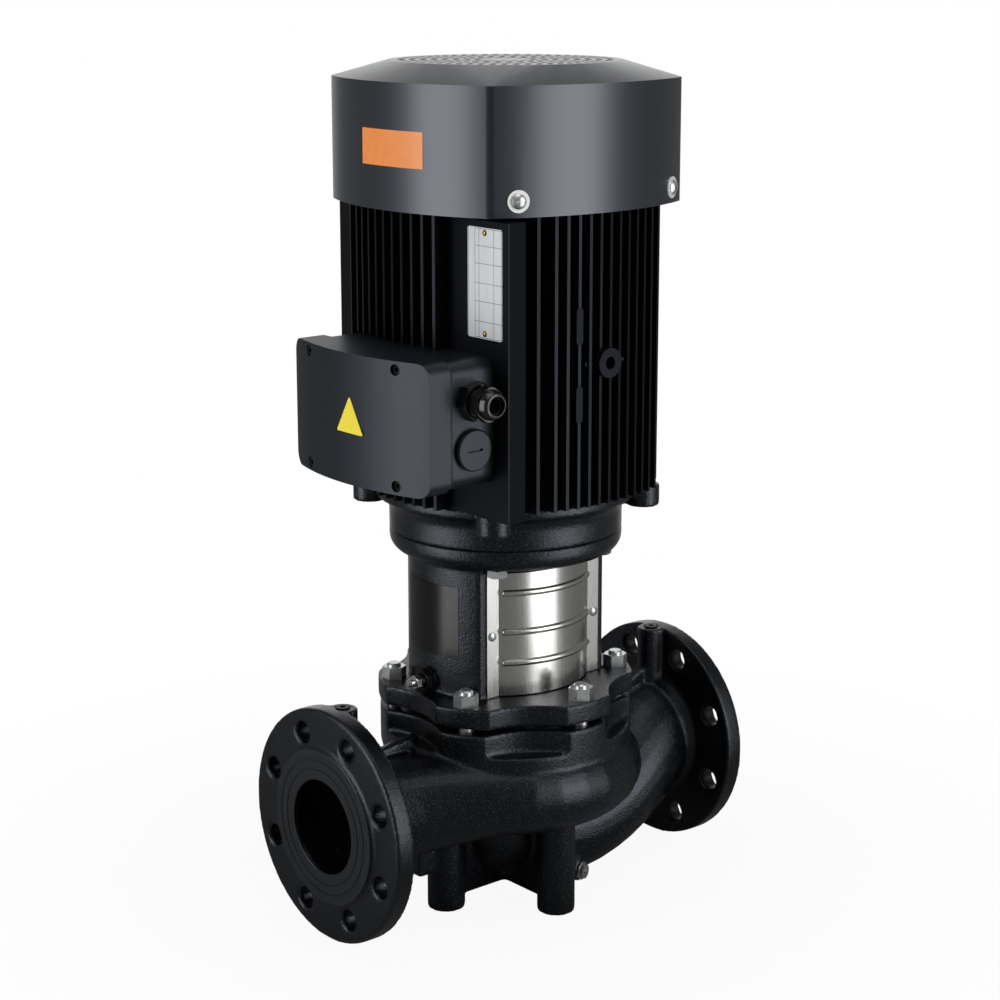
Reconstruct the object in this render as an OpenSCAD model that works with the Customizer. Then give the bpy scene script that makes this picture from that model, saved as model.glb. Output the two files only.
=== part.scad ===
// In-line circulation pump: volute casing in the pipe line, lantern above it and a flanged motor on top.
// Z runs up the shaft and X along the pipe; the origin is the shaft axis at the height of the feet.
// The discharge port is on the -X side, the suction port on +X, and the terminal box faces -X.

/* [Pipe ports] */
// Distance between the faces of the two pipe flanges
face_to_face = 400; // [380:5:440]
// Height of the pipe axis above the feet
pipe_z = 107; // [106:1:116]
// Bore of both ports
port_d = 80; // [74:1:82]
// Outer diameter of the pipe flanges
flange_d = 200; // [196:1:208]
// Thickness of a flange without its raised face
flange_t = 17; // [14:0.5:20]
// Diameter of the raised sealing face
face_d = 132; // [120:1:138]
// Height of the raised sealing face
face_h = 3; // [2:0.5:4]
// Circle of the flange bolt holes
flange_pcd = 160; // [155:1:165]
// Diameter of the bolt holes in the discharge flange
flange_hole_d = 18; // [16:0.5:18.5]
// Diameter of the bolt holes in the suction flange
suction_hole_d = 19; // [18.6:0.1:20]
// Number of bolt holes in each flange
flange_holes = 8; // [4:4:8]
// Wall of the pipe stub behind a flange
stub_wall = 10; // [8:0.5:12]

/* [Volute casing] */
// Height of the middle of the volute above the pipe axis
volute_rise = 13; // [10:1:15]
// Radius of the circle on which the volute tube lies
volute_r = 87.5; // [86:0.5:90]
// Outer radius of the volute tube where it leaves for the discharge
volute_tube = 34.5; // [32:0.5:36]
// Outer radius of the volute tube at the tongue
volute_tail = 20; // [17:0.5:23]
// Wall of the casing
casing_wall = 7; // [6:0.5:8]
// Radius of the round neck that carries the stud lobes
neck_r = 110; // [108:0.5:113]
// Height of the casing top above the pipe axis
casing_rise = 71.3; // [70:0.1:76]
// Height of the stud lobes under the casing top
lobe_h = 19.3; // [16:0.1:22]
// Smallest radius of the casing top between two lobes
casing_waist = 94; // [93:0.5:97]
// Outer radius of the suction elbow under the volute
elbow_r = 46; // [44:0.5:47]
// Height of the middle of the suction bowl above the feet
bowl_z = 61; // [60:1:63]
// How much wider than high the elbow is at its bend
elbow_spread = 1.35; // [1:0.05:1.4]

/* [Feet] */
// Circle of the four feet
foot_pcd = 136; // [130:1:142]
// Diameter of a foot
foot_d = 33; // [28:1:36]
// Radius of the tapped hole in a foot
foot_hole_r = 5.1; // [4.2:0.1:5.3]
// Depth of the tapped hole in a foot
foot_hole_deep = 25; // [18:1:30]
// Thickness of the webs between the feet
web_t = 12; // [8:1:14]
// Height of the webs above the ground
web_z = 8; // [6:1:16]

/* [Casing studs] */
// Wall between the casing bore and the studs
stud_land = 4.6; // [4.2:0.1:5.4]
// Diameter of a casing stud
stud_d = 12; // [10:1:12]
// Width of a stud nut across its flats
nut_af = 18.5; // [17:0.5:19]
// Height of a stud nut
nut_h = 10.5; // [9:0.5:12]
// Length of stud that shows above its nut
stud_show = 3; // [1:0.5:6]

/* [Pump head and lantern] */
// Gap between the casing top and the head plate
head_gap = 5.4; // [4:0.2:7]
// Thickness of the head plate
head_t = 17.3; // [15:0.1:20]
// Outer radius of the head plate over its lobes
head_reach = 111.5; // [110:0.5:114]
// Smallest radius of the head plate between two lobes
head_waist = 98; // [96:0.5:100]
// Radius of the spigot that centres the head in the casing
spigot_r = 87.9; // [86:0.1:88]
// Distance of the lantern's wall from the circle of the studs
lantern_in = 13.5; // [12.5:0.5:15]
// Height of the lantern between its two flanges
lantern_h = 115; // [110:1:125]
// Wall of the lantern
lantern_wall = 9; // [7:0.5:11]
// Distance of the two window flats from the shaft
window_flat = 49; // [48:0.5:51]
// How far a guard laps over the edge of its window
guard_lap = 16; // [15:0.5:19]
// Radius of the lantern's top flange
stool_r = 100.4; // [98:0.2:103]
// Thickness of the lantern's top flange
stool_t = 19.5; // [16:0.5:22]
// Radius of the rounded lower edge of that flange
stool_edge = 13; // [9:0.5:14]

/* [Coupling guards] */
// Thickness of the guard sheet
guard_t = 1.5; // [1:0.1:2]
// Height of a guard
guard_h = 107; // [100:1:107]
// Distance of a guard's edge from the end of the lantern's flat
guard_in = 6.5; // [5:0.5:8]
// Width of the flat strips at the sides of a guard
strip_w = 13; // [12:0.5:15]
// How far the guard bulges out of its side strips
guard_bulge = 18; // [14:0.5:20]
// Radius of the pressed beads
bead_r = 2.2; // [1.5:0.1:2.5]

/* [Shafts and coupling] */
// Diameter of the pump shaft
pump_shaft_d = 22; // [20:1:24]
// Diameter of the motor shaft in the coupling
motor_end_d = 28; // [26:1:32]
// Outer diameter of the split coupling
coupling_d = 76; // [70:1:84]
// Length of the split coupling
coupling_h = 64; // [58:1:70]
// Diameter of a coupling screw
coupling_screw_d = 8; // [6:1:9]

/* [Impeller and seal] */
// Outer diameter of the impeller
impeller_d = 152; // [140:1:158]
// Diameter of the impeller eye ring
eye_d = 76; // [70:1:80]
// Width of the impeller passage at its rim
impeller_w = 14; // [10:1:15]
// Number of impeller vanes
vanes = 6; // [5:1:7]
// Running gap between the eye ring and the wear ring
wear_gap = 0.35; // [0.3:0.05:0.5]
// Outer diameter of the seal rings
seal_d = 38; // [36:1:40]

/* [Motor end shields] */
// Height of the round part of the drive end shield
shield_h = 15.5; // [13:0.5:19]
// Height of the flare above it, up to the motor frame
flare_h = 22; // [18:1:26]
// Circle of the four corner lugs
lug_pcd = 236; // [230:1:240]
// Radius of a corner lug
lug_r = 14.5; // [12:0.5:16]
// Height of a corner lug
lug_h = 19; // [14:1:21]
// Outer radius of the lower bearing
low_bearing_r = 40; // [38:0.5:42]
// Outer radius of the upper bearing
top_bearing_r = 31; // [30:0.5:33]

/* [Motor frame] */
// Length of the finned frame
frame_h = 264; // [255:1:275]
// Distance of the frame's corners from its middle planes
frame_c = 96.5; // [94:0.5:98]
// How far the fin tips bulge out between two corners
frame_bulge = 23; // [20:0.5:25]
// Outer radius of the frame's barrel under the fins
barrel_r = 93; // [92:0.5:95]
// Inner radius of the frame's barrel
barrel_bore = 84; // [83:0.5:85]
// Pitch of the fins on the faces with the lifting bosses
fin_pitch = 11.05; // [10.8:0.05:11.3]
// Pitch of the fins on the face behind the terminal box and the one opposite
box_fin_pitch = 11.9; // [11.6:0.1:12.1]
// Thickness of a fin
fin_t = 2.8; // [2.2:0.1:3.2]
// Distance of the plate pad from the shaft
pad_x = 100; // [98:0.5:101]
// Distance of the pad's outer corner from the middle plane
pad_y = 121; // [119:0.5:122]
// Distance of the pad's inner edge from the middle plane
pad_in = 47.8; // [47:0.1:52]
// Distance of a lifting boss from the middle plane
lift_x = 6.15; // [5.5:0.05:7]
// Radius of a lifting boss
lift_r = 12.3; // [10:0.1:14]
// Radius of the tapped hole in a lifting boss
lift_hole_r = 5.1; // [4.2:0.1:5.3]
// Depth of the tapped hole in a lifting boss
lift_deep = 20; // [15:1:22]

/* [Fan cover] */
// Distance of the cover's corners from its middle planes
cover_c = 103.5; // [103:0.5:105]
// How far the cover bulges out between two corners
cover_bulge = 26; // [25:0.5:28]
// Radius of the cover's rounded corners
cover_round = 12; // [8:0.5:16]
// Wall of the fan cover
cover_wall = 2.5; // [2:0.1:3]
// Height of the straight side of the cover
cover_side = 102; // [97:0.5:106]
// Height of the sloping shoulder under the grille
shoulder_h = 13.5; // [11:0.5:16]
// Radius of the flat top of the cover
grille_r = 98; // [96:0.5:100]
// Length of frame that the cover overlaps
cover_lap = 21.5; // [18:0.5:24]
// Diameter of a grille hole
grille_hole_d = 6; // [4.5:0.5:6.5]
// Distance between two rings of grille holes
grille_pitch = 9; // [8.5:0.5:11]
// Number of rings of grille holes
grille_rings = 8; // [6:1:8]
// Outer diameter of the fan
fan_d = 172; // [150:1:176]
// Number of fan blades
fan_blades = 8; // [6:1:10]

/* [Terminal box] */
// Width of the terminal box lid
lid_w = 177.5; // [172:0.5:180]
// Height of the terminal box lid
lid_h = 107; // [104:0.5:110]
// Depth of the lid at its sides
lid_d = 20.5; // [18:0.5:24]
// How far the front of the lid bows out
lid_bow = 16; // [10:0.5:18]
// Depth of the terminal box from the pad to the lid
box_d = 46; // [42:0.5:50]
// Wall of the terminal box
box_wall = 4; // [3:0.5:5]
// How far the box is set back from the lid's rim
box_inset = 2; // [1:0.5:3]
// Distance of the lid's middle from the shaft's middle plane
box_y = 17.2; // [15:0.1:18.5]
// Height of the lid's middle above the frame's lower end
box_rise = 81.5; // [80:0.5:84]
// Radius of the corners of box and lid
box_round = 12; // [9:0.5:14]
// Width of the gland body across its flats
gland_af = 28; // [26:1:30]
// Radius of the cable hole in the gland
gland_hole_r = 7; // [5:0.5:7.5]
// Diameter of the blanking plug
blank_d = 34; // [30:1:36]

/* [Nameplate] */
// Width of the blank nameplate
plate_w = 42; // [36:1:44]
// Height of the blank nameplate
plate_h = 88; // [70:1:90]
// Thickness of the blank nameplate
plate_t = 0.8; // [0.5:0.1:1.2]
// Height of the plate's middle above the frame's lower end
plate_rise = 190.5; // [188:0.5:193]

/* [Hidden] */
$fn = 96;
eps = 0.01;
fit = 0.05;
slack = 0.3;
cast = "#1d1f22";
paint = "#17181b";
steel = "#a9abad";
zinc = "#c9ccd0";
stainless = "#b9b6ae";
rubber = "#1a1a1a";
plastic = "#222326";

// Heights along the shaft, from the feet up
volute_z = pipe_z + volute_rise;
casing_top = pipe_z + casing_rise;
lobe_z = casing_top - lobe_h;
head_z = casing_top + head_gap;
head_top = head_z + head_t;
stool_z = head_top + lantern_h;
motor_z = stool_z + stool_t;
flare_z = motor_z + shield_h;
frame_z = flare_z + flare_h;
frame_top = frame_z + frame_h;
cover_z = frame_top - cover_lap;
shoulder_z = cover_z + cover_side;
grille_z = shoulder_z + shoulder_h;

// Casing
face_x = face_to_face / 2;
flange_x = face_x - face_h - flange_t;
stub_r = port_d / 2 + stub_wall;
core_r = port_d / 2 + 0.5;
stud_n = 6;
stud_turn = 30;
lobe_span = 72.7;
hollow_r = casing_waist + lobe_span;
chamber_low = volute_z - 17;
chamber_top = volute_z + 11;
ledge_z = volute_z + 27;
ledge_w = 4;
floor_t = 10;
ring_r = eye_d / 2 + 6;
tongue_angle = 150;
elbow_swell = 0.05;
spiral_turn = 280;
spiral_steps = 24;
outlet_steps = 8;
pull = 45;
port_boss_r = 12.5;
port_boss_x = flange_x - 3;
port_plug_r = 6;
drain_at = [45, -50.5, 17.5];
drain_turn = -70;

// Pump head, seal and impeller
bore_r = spigot_r + fit;
stud_pcd = 2 * spigot_r + stud_d + 2 * stud_land;
lantern_r = stud_pcd / 2 - lantern_in;
shaft_r = pump_shaft_d / 2;
seal_r = seal_d / 2;
seat_z = head_z - 1;
seat_h = 9;
ring_h = 9;
hub_r = 17;
hub_top = volute_z + 28;
shroud_t = 3;
impeller_z = volute_z - impeller_w / 2 - shroud_t;
impeller_r = impeller_d / 2;
eye_r = eye_d / 2;
nut_space = 14;
coupling_z = head_top + 27;
coupling_r = coupling_d / 2;
pump_shaft_top = coupling_z + coupling_h / 2 - 1;
motor_shaft_low = coupling_z + coupling_h / 2 + 1;
screw_x = coupling_r - coupling_screw_d - 3;
screw_rows = [coupling_z + 16, coupling_z + coupling_h - 16];

// Guards
guard_w = 2 * sqrt(lantern_r * lantern_r - window_flat * window_flat) - 2 * guard_in;
guard_chord = guard_w - 2 * strip_w;
window_w = guard_w - 2 * guard_lap;
guard_arc = (guard_chord * guard_chord / 4 + guard_bulge * guard_bulge) / (2 * guard_bulge);
guard_z = head_top + 1;
guard_screw_x = guard_w / 2 - 5.5;
guard_screw_z = guard_z + guard_h / 2;
bead_rows = [guard_z + 90, guard_z + 56, guard_z + 29];
bead_span = 34;

// Motor
low_bearing_in = 20;
low_bearing_h = 18;
low_bearing_z = motor_z + 11;
top_bearing_in = 15;
top_bearing_h = 16;
top_bearing_z = frame_top - 12;
race = 6.3;
low_ball = 5.6;
top_ball = 4.3;
low_balls = 9;
top_balls = 9;
register_r = 65;
register_h = 4;
bolt_pcd = 165;
bolt_d = 10;
lug_at = lug_pcd / 2 * cos(45);
frame_arc = bulge_arc(frame_c, frame_bulge);
core_z = frame_z + 34;
core_h = 150;
core_bore = 52;
coil_h = 24;
air_gap = 0.8;
rotor_r = core_bore - air_gap;
face_fins = concat([-5.4 * fin_pitch], [for (k = [-4:7]) k * fin_pitch]);
box_fins = concat([-6.47 * box_fin_pitch], [for (k = [-5:4]) k * box_fin_pitch - 1.5]);
lift_z = frame_z + 119;
lift_y = frame_c + frame_bulge + 5;
cover_screw_drop = 8.5;
cover_screw_z = frame_top - cover_screw_drop;
cover_screw_x = lug_at - 0.4;
cover_arc = bulge_arc(cover_c, cover_bulge);
cover_mid = cover_c + cover_bulge;
cover_screw_angle = asin(cover_screw_x / cover_arc);
cover_screw_y = sqrt(cover_arc * cover_arc - cover_screw_x * cover_screw_x) - cover_arc + cover_mid;
washer_r = 9;
washer_t = 1.2;
fan_z = frame_top + 24;
fan_h = 40;
fan_hub_r = 19;
fan_shaft_r = 13;

// Terminal box
lid_z = frame_z + box_rise;
seam_x = pad_x + box_d;
lid_x = seam_x + lid_d;
lid_arc = (lid_w * lid_w / 4 + lid_bow * lid_bow) / (2 * lid_bow);
box_w = lid_w - 2 * box_inset;
box_h = lid_h - 2 * box_inset;
box_side = box_y + box_w / 2;
gland_x = pad_x + box_d / 2;
gland_z = lid_z + 20;
blank_z = lid_z - 19.5;
entry_r = 11;
gland_body_h = 14;
gland_nut_h = 17;
lid_screw_y = lid_w / 2 - 31.5;
lid_screw_z = lid_h / 2 - 7;
plate_y = 93.5;
plate_z = frame_z + plate_rise;
pad_far = 98.5;
pad_top = cover_z - 2.5;

// Radius of the arcs of a square with corners at (c, c) whose sides bulge out by s
function bulge_arc(c, s) = (c * c + s * s) / (2 * s);
function mix(a, b, t) = a + (b - a) * t;
function unit(v) = v / norm(v);
function bezier(p, t) = pow(1 - t, 3) * p[0] + 3 * pow(1 - t, 2) * t * p[1]
    + 3 * (1 - t) * t * t * p[2] + t * t * t * p[3];
function bezier_dir(p, t) = unit(3 * pow(1 - t, 2) * (p[1] - p[0]) + 6 * (1 - t) * t * (p[2] - p[1])
    + 3 * t * t * (p[3] - p[2]));
// One ring of n points round c, with u to its side and the path running along dir
function ring(c, u, dir, wide, high, n) = [for (i = [0:n - 1])
    c + wide * cos(360 * i / n) * u + high * sin(360 * i / n) * cross(u, dir)];

// Closed skin over rings of equal point count
module skin(rings) {
    n = len(rings[0]);
    m = len(rings);
    points = [for (r = rings) each r];
    sides = [for (j = [0:m - 2]) for (i = [0:n - 1])
        [j * n + i, j * n + (i + 1) % n, (j + 1) * n + (i + 1) % n, (j + 1) * n + i]];
    first = [for (i = [n - 1:-1:0]) i];
    last = [for (i = [0:n - 1]) (m - 1) * n + i];
    polyhedron(points, concat([first], sides, [last]));
}

module tube(r_out, r_in, h) {
    difference() {
        cylinder(r = r_out, h = h);
        translate([0, 0, -1]) cylinder(r = r_in, h = h + 2);
    }
}

module hexagon(af, h) {
    cylinder(r = af / sqrt(3), h = h, $fn = 6);
}

// Hexagon with the turned chamfer of a nut or screw head on its top
module hex_head(af, h) {
    intersection() {
        hexagon(af, h);
        cylinder(r1 = af / 2 + h * 1.6, r2 = af / 2, h = h);
    }
}

module bulged_square(c, s) {
    arc = bulge_arc(c, s);
    intersection_for (a = [0, 90, 180, 270])
        rotate(a) translate([c + s - arc, 0]) circle(r = arc, $fn = 192);
}

module rounded_rect(w, h, r) {
    square([w - 2 * r, h], center = true);
    square([w, h - 2 * r], center = true);
    for (x = [-1, 1]) for (y = [-1, 1])
        translate([x * (w / 2 - r), y * (h / 2 - r)]) circle(r = r, $fn = 48);
}

// Places children n times on a circle, at equal angles or at a given step
module around(n, r, turn = 0, step = 0) {
    for (i = [0:n - 1]) rotate(turn + i * (step > 0 ? step : 360 / n)) translate([r, 0, 0]) children();
}

// Places children on the suction side at 0 and on the discharge side at 180, with their Z pointing out
module port(side, x) {
    rotate(side) translate([x, 0, pipe_z]) rotate([0, 90, 0]) children();
}

// The four corner lug places of the motor
module corners() {
    for (a = [45:90:315]) rotate(a) translate([lug_pcd / 2, 0, 0]) rotate(-a) children();
}

// Volute and elbow

function spiral_r(a) = mix(volute_tail, volute_tube, 1 - pow(1 - a / spiral_turn, 2));
function spiral_at(a) = [volute_r * cos(tongue_angle - a), volute_r * sin(tongue_angle - a), volute_z];
function spiral_side(a) = [cos(tongue_angle - a), sin(tongue_angle - a), 0];
function spiral_dir(a) = [sin(tongue_angle - a), -cos(tongue_angle - a), 0];
outlet = [spiral_at(spiral_turn), spiral_at(spiral_turn) + pull * spiral_dir(spiral_turn),
    [-flange_x + pull, 0, pipe_z], [-flange_x, 0, pipe_z]];
elbow = [[flange_x, 0, pipe_z], [flange_x - 50, 0, pipe_z], [flange_x - 95, 0, bowl_z - 44], [0, 0, bowl_z]];

function flat_side(dir) = unit(cross(dir, [0, 0, 1]));
function spiral_rings(less, n) = [for (k = [0:spiral_steps])
    let (a = spiral_turn * k / spiral_steps)
    ring(spiral_at(a), spiral_side(a), spiral_dir(a), spiral_r(a) - less, spiral_r(a) - less, n)];
function outlet_rings(r0, r1, n) = [for (k = [1:outlet_steps])
    let (t = k / outlet_steps, dir = bezier_dir(outlet, t), r = mix(r0, r1, t))
    ring(bezier(outlet, t), flat_side(dir) * -1, dir, r, r, n)];
function elbow_rings(r0, r1, n, steps) = [for (k = [0:steps])
    let (t = k / steps, dir = bezier_dir(elbow, t), r = mix(r0, r1, t))
    ring(bezier(elbow, t), [0, 1, 0], dir, r * (1 + (elbow_spread - 1) * sin(180 * t)),
        r * (1 + elbow_swell * sin(180 * t)), n)];

module casing_drum() {
    rotate_extrude($fn = 192) polygon([[0, chamber_low - floor_t], [78, chamber_low - floor_t],
        [94, chamber_low - 4], [102, volute_z - 6], [neck_r - 2, volute_z + 16],
        [neck_r, volute_z + 24], [neck_r, casing_top], [0, casing_top]]);
}

module lobe_hollows(waist, z0, z1) {
    around(stud_n, hollow_r, 0) translate([0, 0, z0])
        cylinder(r = hollow_r - waist, h = z1 - z0, $fn = 192);
}

module pipe_flange(hole_d) {
    difference() {
        union() {
            cylinder(r = flange_d / 2, h = flange_t);
            cylinder(r = face_d / 2, h = flange_t + face_h);
            translate([0, 0, -8]) cylinder(r1 = stub_r + 2, r2 = stub_r + 8, h = 8 + eps);
        }
        around(flange_holes, flange_pcd / 2, 180 / flange_holes) translate([0, 0, -1])
            cylinder(r = hole_d / 2, h = flange_t + 2, $fn = 48);
        for (r = [49.5, 57.5]) translate([0, 0, flange_t + face_h - 0.8]) tube(r + 0.6, r - 0.6, 2);
    }
}

module feet() {
    around(4, foot_pcd / 2) cylinder(r = foot_d / 2, h = chamber_low);
    for (a = [0, 90]) rotate(a) translate([-foot_pcd / 2, -web_t / 2, web_z])
        cube([foot_pcd, web_t, chamber_low - web_z]);
    translate([-foot_pcd / 2 - 34, -web_t / 2, pipe_z - 71]) cube([36, web_t, 60]);
}

module gauge_columns() {
    for (s = [-1, 1]) translate([s * port_boss_x, 0, pipe_z])
        cylinder(r = port_boss_r, h = flange_d / 2 - 0.8, $fn = 48);
}

module neck_ribs() {
    rib = port_boss_x - neck_r + 12;
    for (s = [0, 180]) rotate(s) translate([neck_r - 10, 5, pipe_z]) rotate([90, 0, 0])
        linear_extrude(10) polygon([[0, 0], [rib, 0], [rib, 70], [rib * 0.55, 54], [0, lobe_z - pipe_z + 8]]);
}

module drain_frame() {
    translate(drain_at) rotate(drain_turn) rotate([0, 90, 0]) children();
}

module volute_casing() color(cast) difference() {
    union() {
        skin(concat(spiral_rings(0, 28), outlet_rings(volute_tube, stub_r, 28)));
        skin(elbow_rings(stub_r, elbow_r, 28, 16));
        translate([0, 0, bowl_z]) sphere(r = elbow_r);
        translate([0, 0, bowl_z]) cylinder(r = elbow_r, h = chamber_low - bowl_z - 1);
        difference() {
            casing_drum();
            lobe_hollows(casing_waist, lobe_z, casing_top + 1);
        }
        port(0, flange_x) pipe_flange(suction_hole_d);
        port(180, flange_x) pipe_flange(flange_hole_d);
        feet();
        gauge_columns();
        neck_ribs();
        drain_frame() translate([0, 0, -22]) cylinder(r = 9.5, h = 22, $fn = 48);
    }
    skin(concat(spiral_rings(casing_wall, 16), outlet_rings(volute_tube - casing_wall, core_r, 16)));
    skin(elbow_rings(core_r, elbow_r - casing_wall, 16, 12));
    translate([0, 0, bowl_z]) sphere(r = elbow_r - casing_wall);
    translate([0, 0, bowl_z]) cylinder(r = elbow_r - casing_wall - 3, h = chamber_low - floor_t - bowl_z + 1);
    for (side = [0, 180]) port(side, flange_x) translate([0, 0, -eps])
        cylinder(r = port_d / 2, h = flange_t + face_h + 1);
    translate([0, 0, chamber_low]) cylinder(r = bore_r - ledge_w, h = ledge_z - chamber_low + 1);
    translate([0, 0, ledge_z]) cylinder(r = bore_r, h = casing_top - ledge_z + 1);
    translate([0, 0, chamber_low - floor_t]) cylinder(r = ring_r + fit, h = floor_t + 1);
    around(stud_n, stud_pcd / 2, stud_turn) translate([0, 0, lobe_z - 8])
        cylinder(r = stud_d / 2 + fit, h = lobe_h + 9, $fn = 48);
    around(3, foot_pcd / 2, 90, 90) translate([0, 0, -1])
        cylinder(r = foot_hole_r, h = foot_hole_deep + 1, $fn = 48);
    for (s = [-1, 1]) translate([s * port_boss_x, 0, pipe_z + flange_d / 2 - 14])
        cylinder(r = port_plug_r + fit, h = 15, $fn = 48);
    drain_frame() translate([0, 0, -12]) cylinder(r = 5 + fit, h = 13, $fn = 48);
}

module wear_ring() color(steel) translate([0, 0, chamber_low - floor_t])
    tube(ring_r, eye_r + wear_gap, floor_t);

module gauge_plugs() color(steel) for (s = [-1, 1])
    translate([s * port_boss_x, 0, pipe_z + flange_d / 2 - 12]) difference() {
        union() {
            cylinder(r = port_plug_r, h = 11, $fn = 48);
            cylinder(r = port_plug_r - 0.6, h = 12.4, $fn = 48);
        }
        translate([0, 0, 7]) hexagon(5, 8);
    }

module drain_plug() color(zinc) drain_frame() difference() {
    union() {
        translate([0, 0, -10]) cylinder(r = 5, h = 10, $fn = 48);
        cylinder(r = 8, h = 2, $fn = 48);
        translate([0, 0, 2]) cylinder(r1 = 7, r2 = 6.4, h = 3, $fn = 48);
    }
    translate([0, 0, 1.5]) hexagon(5, 6);
}

module casing_studs() color(zinc) around(stud_n, stud_pcd / 2, stud_turn) translate([0, 0, lobe_z - 8]) {
    length = head_top + nut_h + stud_show - lobe_z + 8;
    cylinder(r = stud_d / 2, h = length - 1, $fn = 48);
    translate([0, 0, length - 1]) cylinder(r1 = stud_d / 2, r2 = stud_d / 2 - 1, h = 1, $fn = 48);
}

module stud_nuts() color(zinc) around(stud_n, stud_pcd / 2, stud_turn) translate([0, 0, head_top])
    difference() {
        hex_head(nut_af, nut_h);
        translate([0, 0, -1]) cylinder(r = stud_d / 2 + fit, h = nut_h + 2, $fn = 48);
    }

o_ring = 1.8;
o_ring_z = ledge_z + 14;
module casing_o_ring() color(rubber) translate([0, 0, o_ring_z])
    rotate_extrude() translate([bore_r - o_ring, 0]) circle(r = o_ring - fit, $fn = 32);

// Lantern wall with its window posts, in plan
module lantern_plan() {
    difference() {
        intersection() {
            circle(r = lantern_r, $fn = 192);
            square([2 * lantern_r, 2 * window_flat], center = true);
        }
        intersection() {
            circle(r = lantern_r - lantern_wall, $fn = 192);
            square([2 * lantern_r, 2 * (window_flat - 13)], center = true);
        }
        square([window_w, 2 * lantern_r], center = true);
    }
}

module head_plate() {
    difference() {
        cylinder(r = head_reach, h = head_t, $fn = 192);
        lobe_hollows(head_waist, -1, head_t + 1);
    }
}

module stool_flange() translate([0, 0, stool_z]) {
    cylinder(r = stool_r - stool_edge, h = stool_t, $fn = 192);
    translate([0, 0, stool_edge]) cylinder(r = stool_r, h = stool_t - stool_edge, $fn = 192);
    intersection() {
        translate([0, 0, stool_edge]) rotate_extrude($fn = 192) translate([stool_r - stool_edge, 0])
            circle(r = stool_edge, $fn = 48);
        cylinder(r = stool_r + 5, h = stool_t, $fn = 192);
    }
}

module pump_head() color(cast) difference() {
    union() {
        translate([0, 0, head_z]) head_plate();
        translate([0, 0, ledge_z]) cylinder(r = spigot_r, h = head_z - ledge_z + 1);
        translate([0, 0, chamber_top]) cylinder(r = spigot_r - ledge_w, h = ledge_z - chamber_top + 1);
        translate([0, 0, head_top - 1]) linear_extrude(lantern_h + 2) lantern_plan();
        stool_flange();
        translate([0, 0, head_top - 1]) cylinder(r = seal_r + 14, h = 9);
    }
    translate([0, 0, stool_z - 1]) cylinder(r = register_r + fit, h = stool_t + 2);
    translate([0, 0, chamber_top - 1]) cylinder(r = 38, h = seat_z - chamber_top + 1);
    translate([0, 0, seat_z - 1]) cylinder(r = seal_r + 2 + fit, h = seat_h + 1);
    translate([0, 0, seat_z]) cylinder(r = shaft_r + 3, h = 60);
    translate([0, 0, o_ring_z - 2.2]) tube(spigot_r + 1, bore_r - 2 * o_ring, 4.4);
    around(stud_n, stud_pcd / 2, stud_turn) translate([0, 0, head_z - 1])
        cylinder(r = stud_d / 2 + 0.6, h = head_t + 2, $fn = 48);
    around(4, bolt_pcd / 2, 45) translate([0, 0, stool_z - 1])
        cylinder(r = bolt_d / 2 + 0.5, h = stool_t + 2, $fn = 48);
    for (s = [-1, 1]) for (x = [-1, 1])
        translate([x * guard_screw_x, s * window_flat, guard_screw_z]) rotate([90 * s, 0, 0])
            cylinder(r = 2 + fit, h = 10, $fn = 32);
    translate([-lantern_r - 1, 0, head_top + 11]) rotate([0, 90, 0]) cylinder(r = 6 + fit, h = 30, $fn = 48);
}

vent_z = head_top + 11;
vent_out = lantern_r + 12;
module vent_body() color(paint) translate([-lantern_r, 0, vent_z]) rotate([0, -90, 0]) difference() {
    union() {
        translate([0, 0, -8]) cylinder(r = 6, h = 8, $fn = 48);
        cylinder(r = 10.5, h = 3, $fn = 48);
        translate([0, 0, 3]) hex_head(17, 6);
        cylinder(r = 6.5, h = vent_out - lantern_r, $fn = 48);
    }
    translate([0, 0, -9]) cylinder(r = 3, h = 40, $fn = 32);
}

module vent_screw() color(zinc) translate([-vent_out, 0, vent_z]) rotate([0, -90, 0]) {
    translate([0, 0, -9]) cylinder(r = 2.94, h = 9 + slack, $fn = 32);
    translate([0, 0, slack]) hex_head(11, 5);
    translate([0, 0, slack]) cylinder(r = 3.6, h = 9, $fn = 32);
    translate([0, 0, 9 + slack]) cylinder(r1 = 3.6, r2 = 2, h = 2.5, $fn = 32);
}

module seal_seat() color("#8d8a83") translate([0, 0, seat_z]) tube(seal_r + 2, shaft_r + 1, seat_h - 1);

// Guard sheet in plan: two flat strips on the lantern flats and an arc between them
module guard_plan() {
    mid = window_flat + guard_bulge - guard_arc;
    for (s = [-1, 1]) translate([s * (guard_w / 2 - strip_w / 2), -window_flat - guard_t / 2])
        square([strip_w, guard_t], center = true);
    difference() {
        intersection() {
            translate([0, -mid]) circle(r = guard_arc + guard_t, $fn = 192);
            translate([-guard_chord / 2 - 1, -window_flat - guard_bulge - guard_t - 1])
                square([guard_chord + 2, guard_bulge + guard_t + 1]);
        }
        translate([0, -mid]) circle(r = guard_arc, $fn = 192);
    }
}

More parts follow.
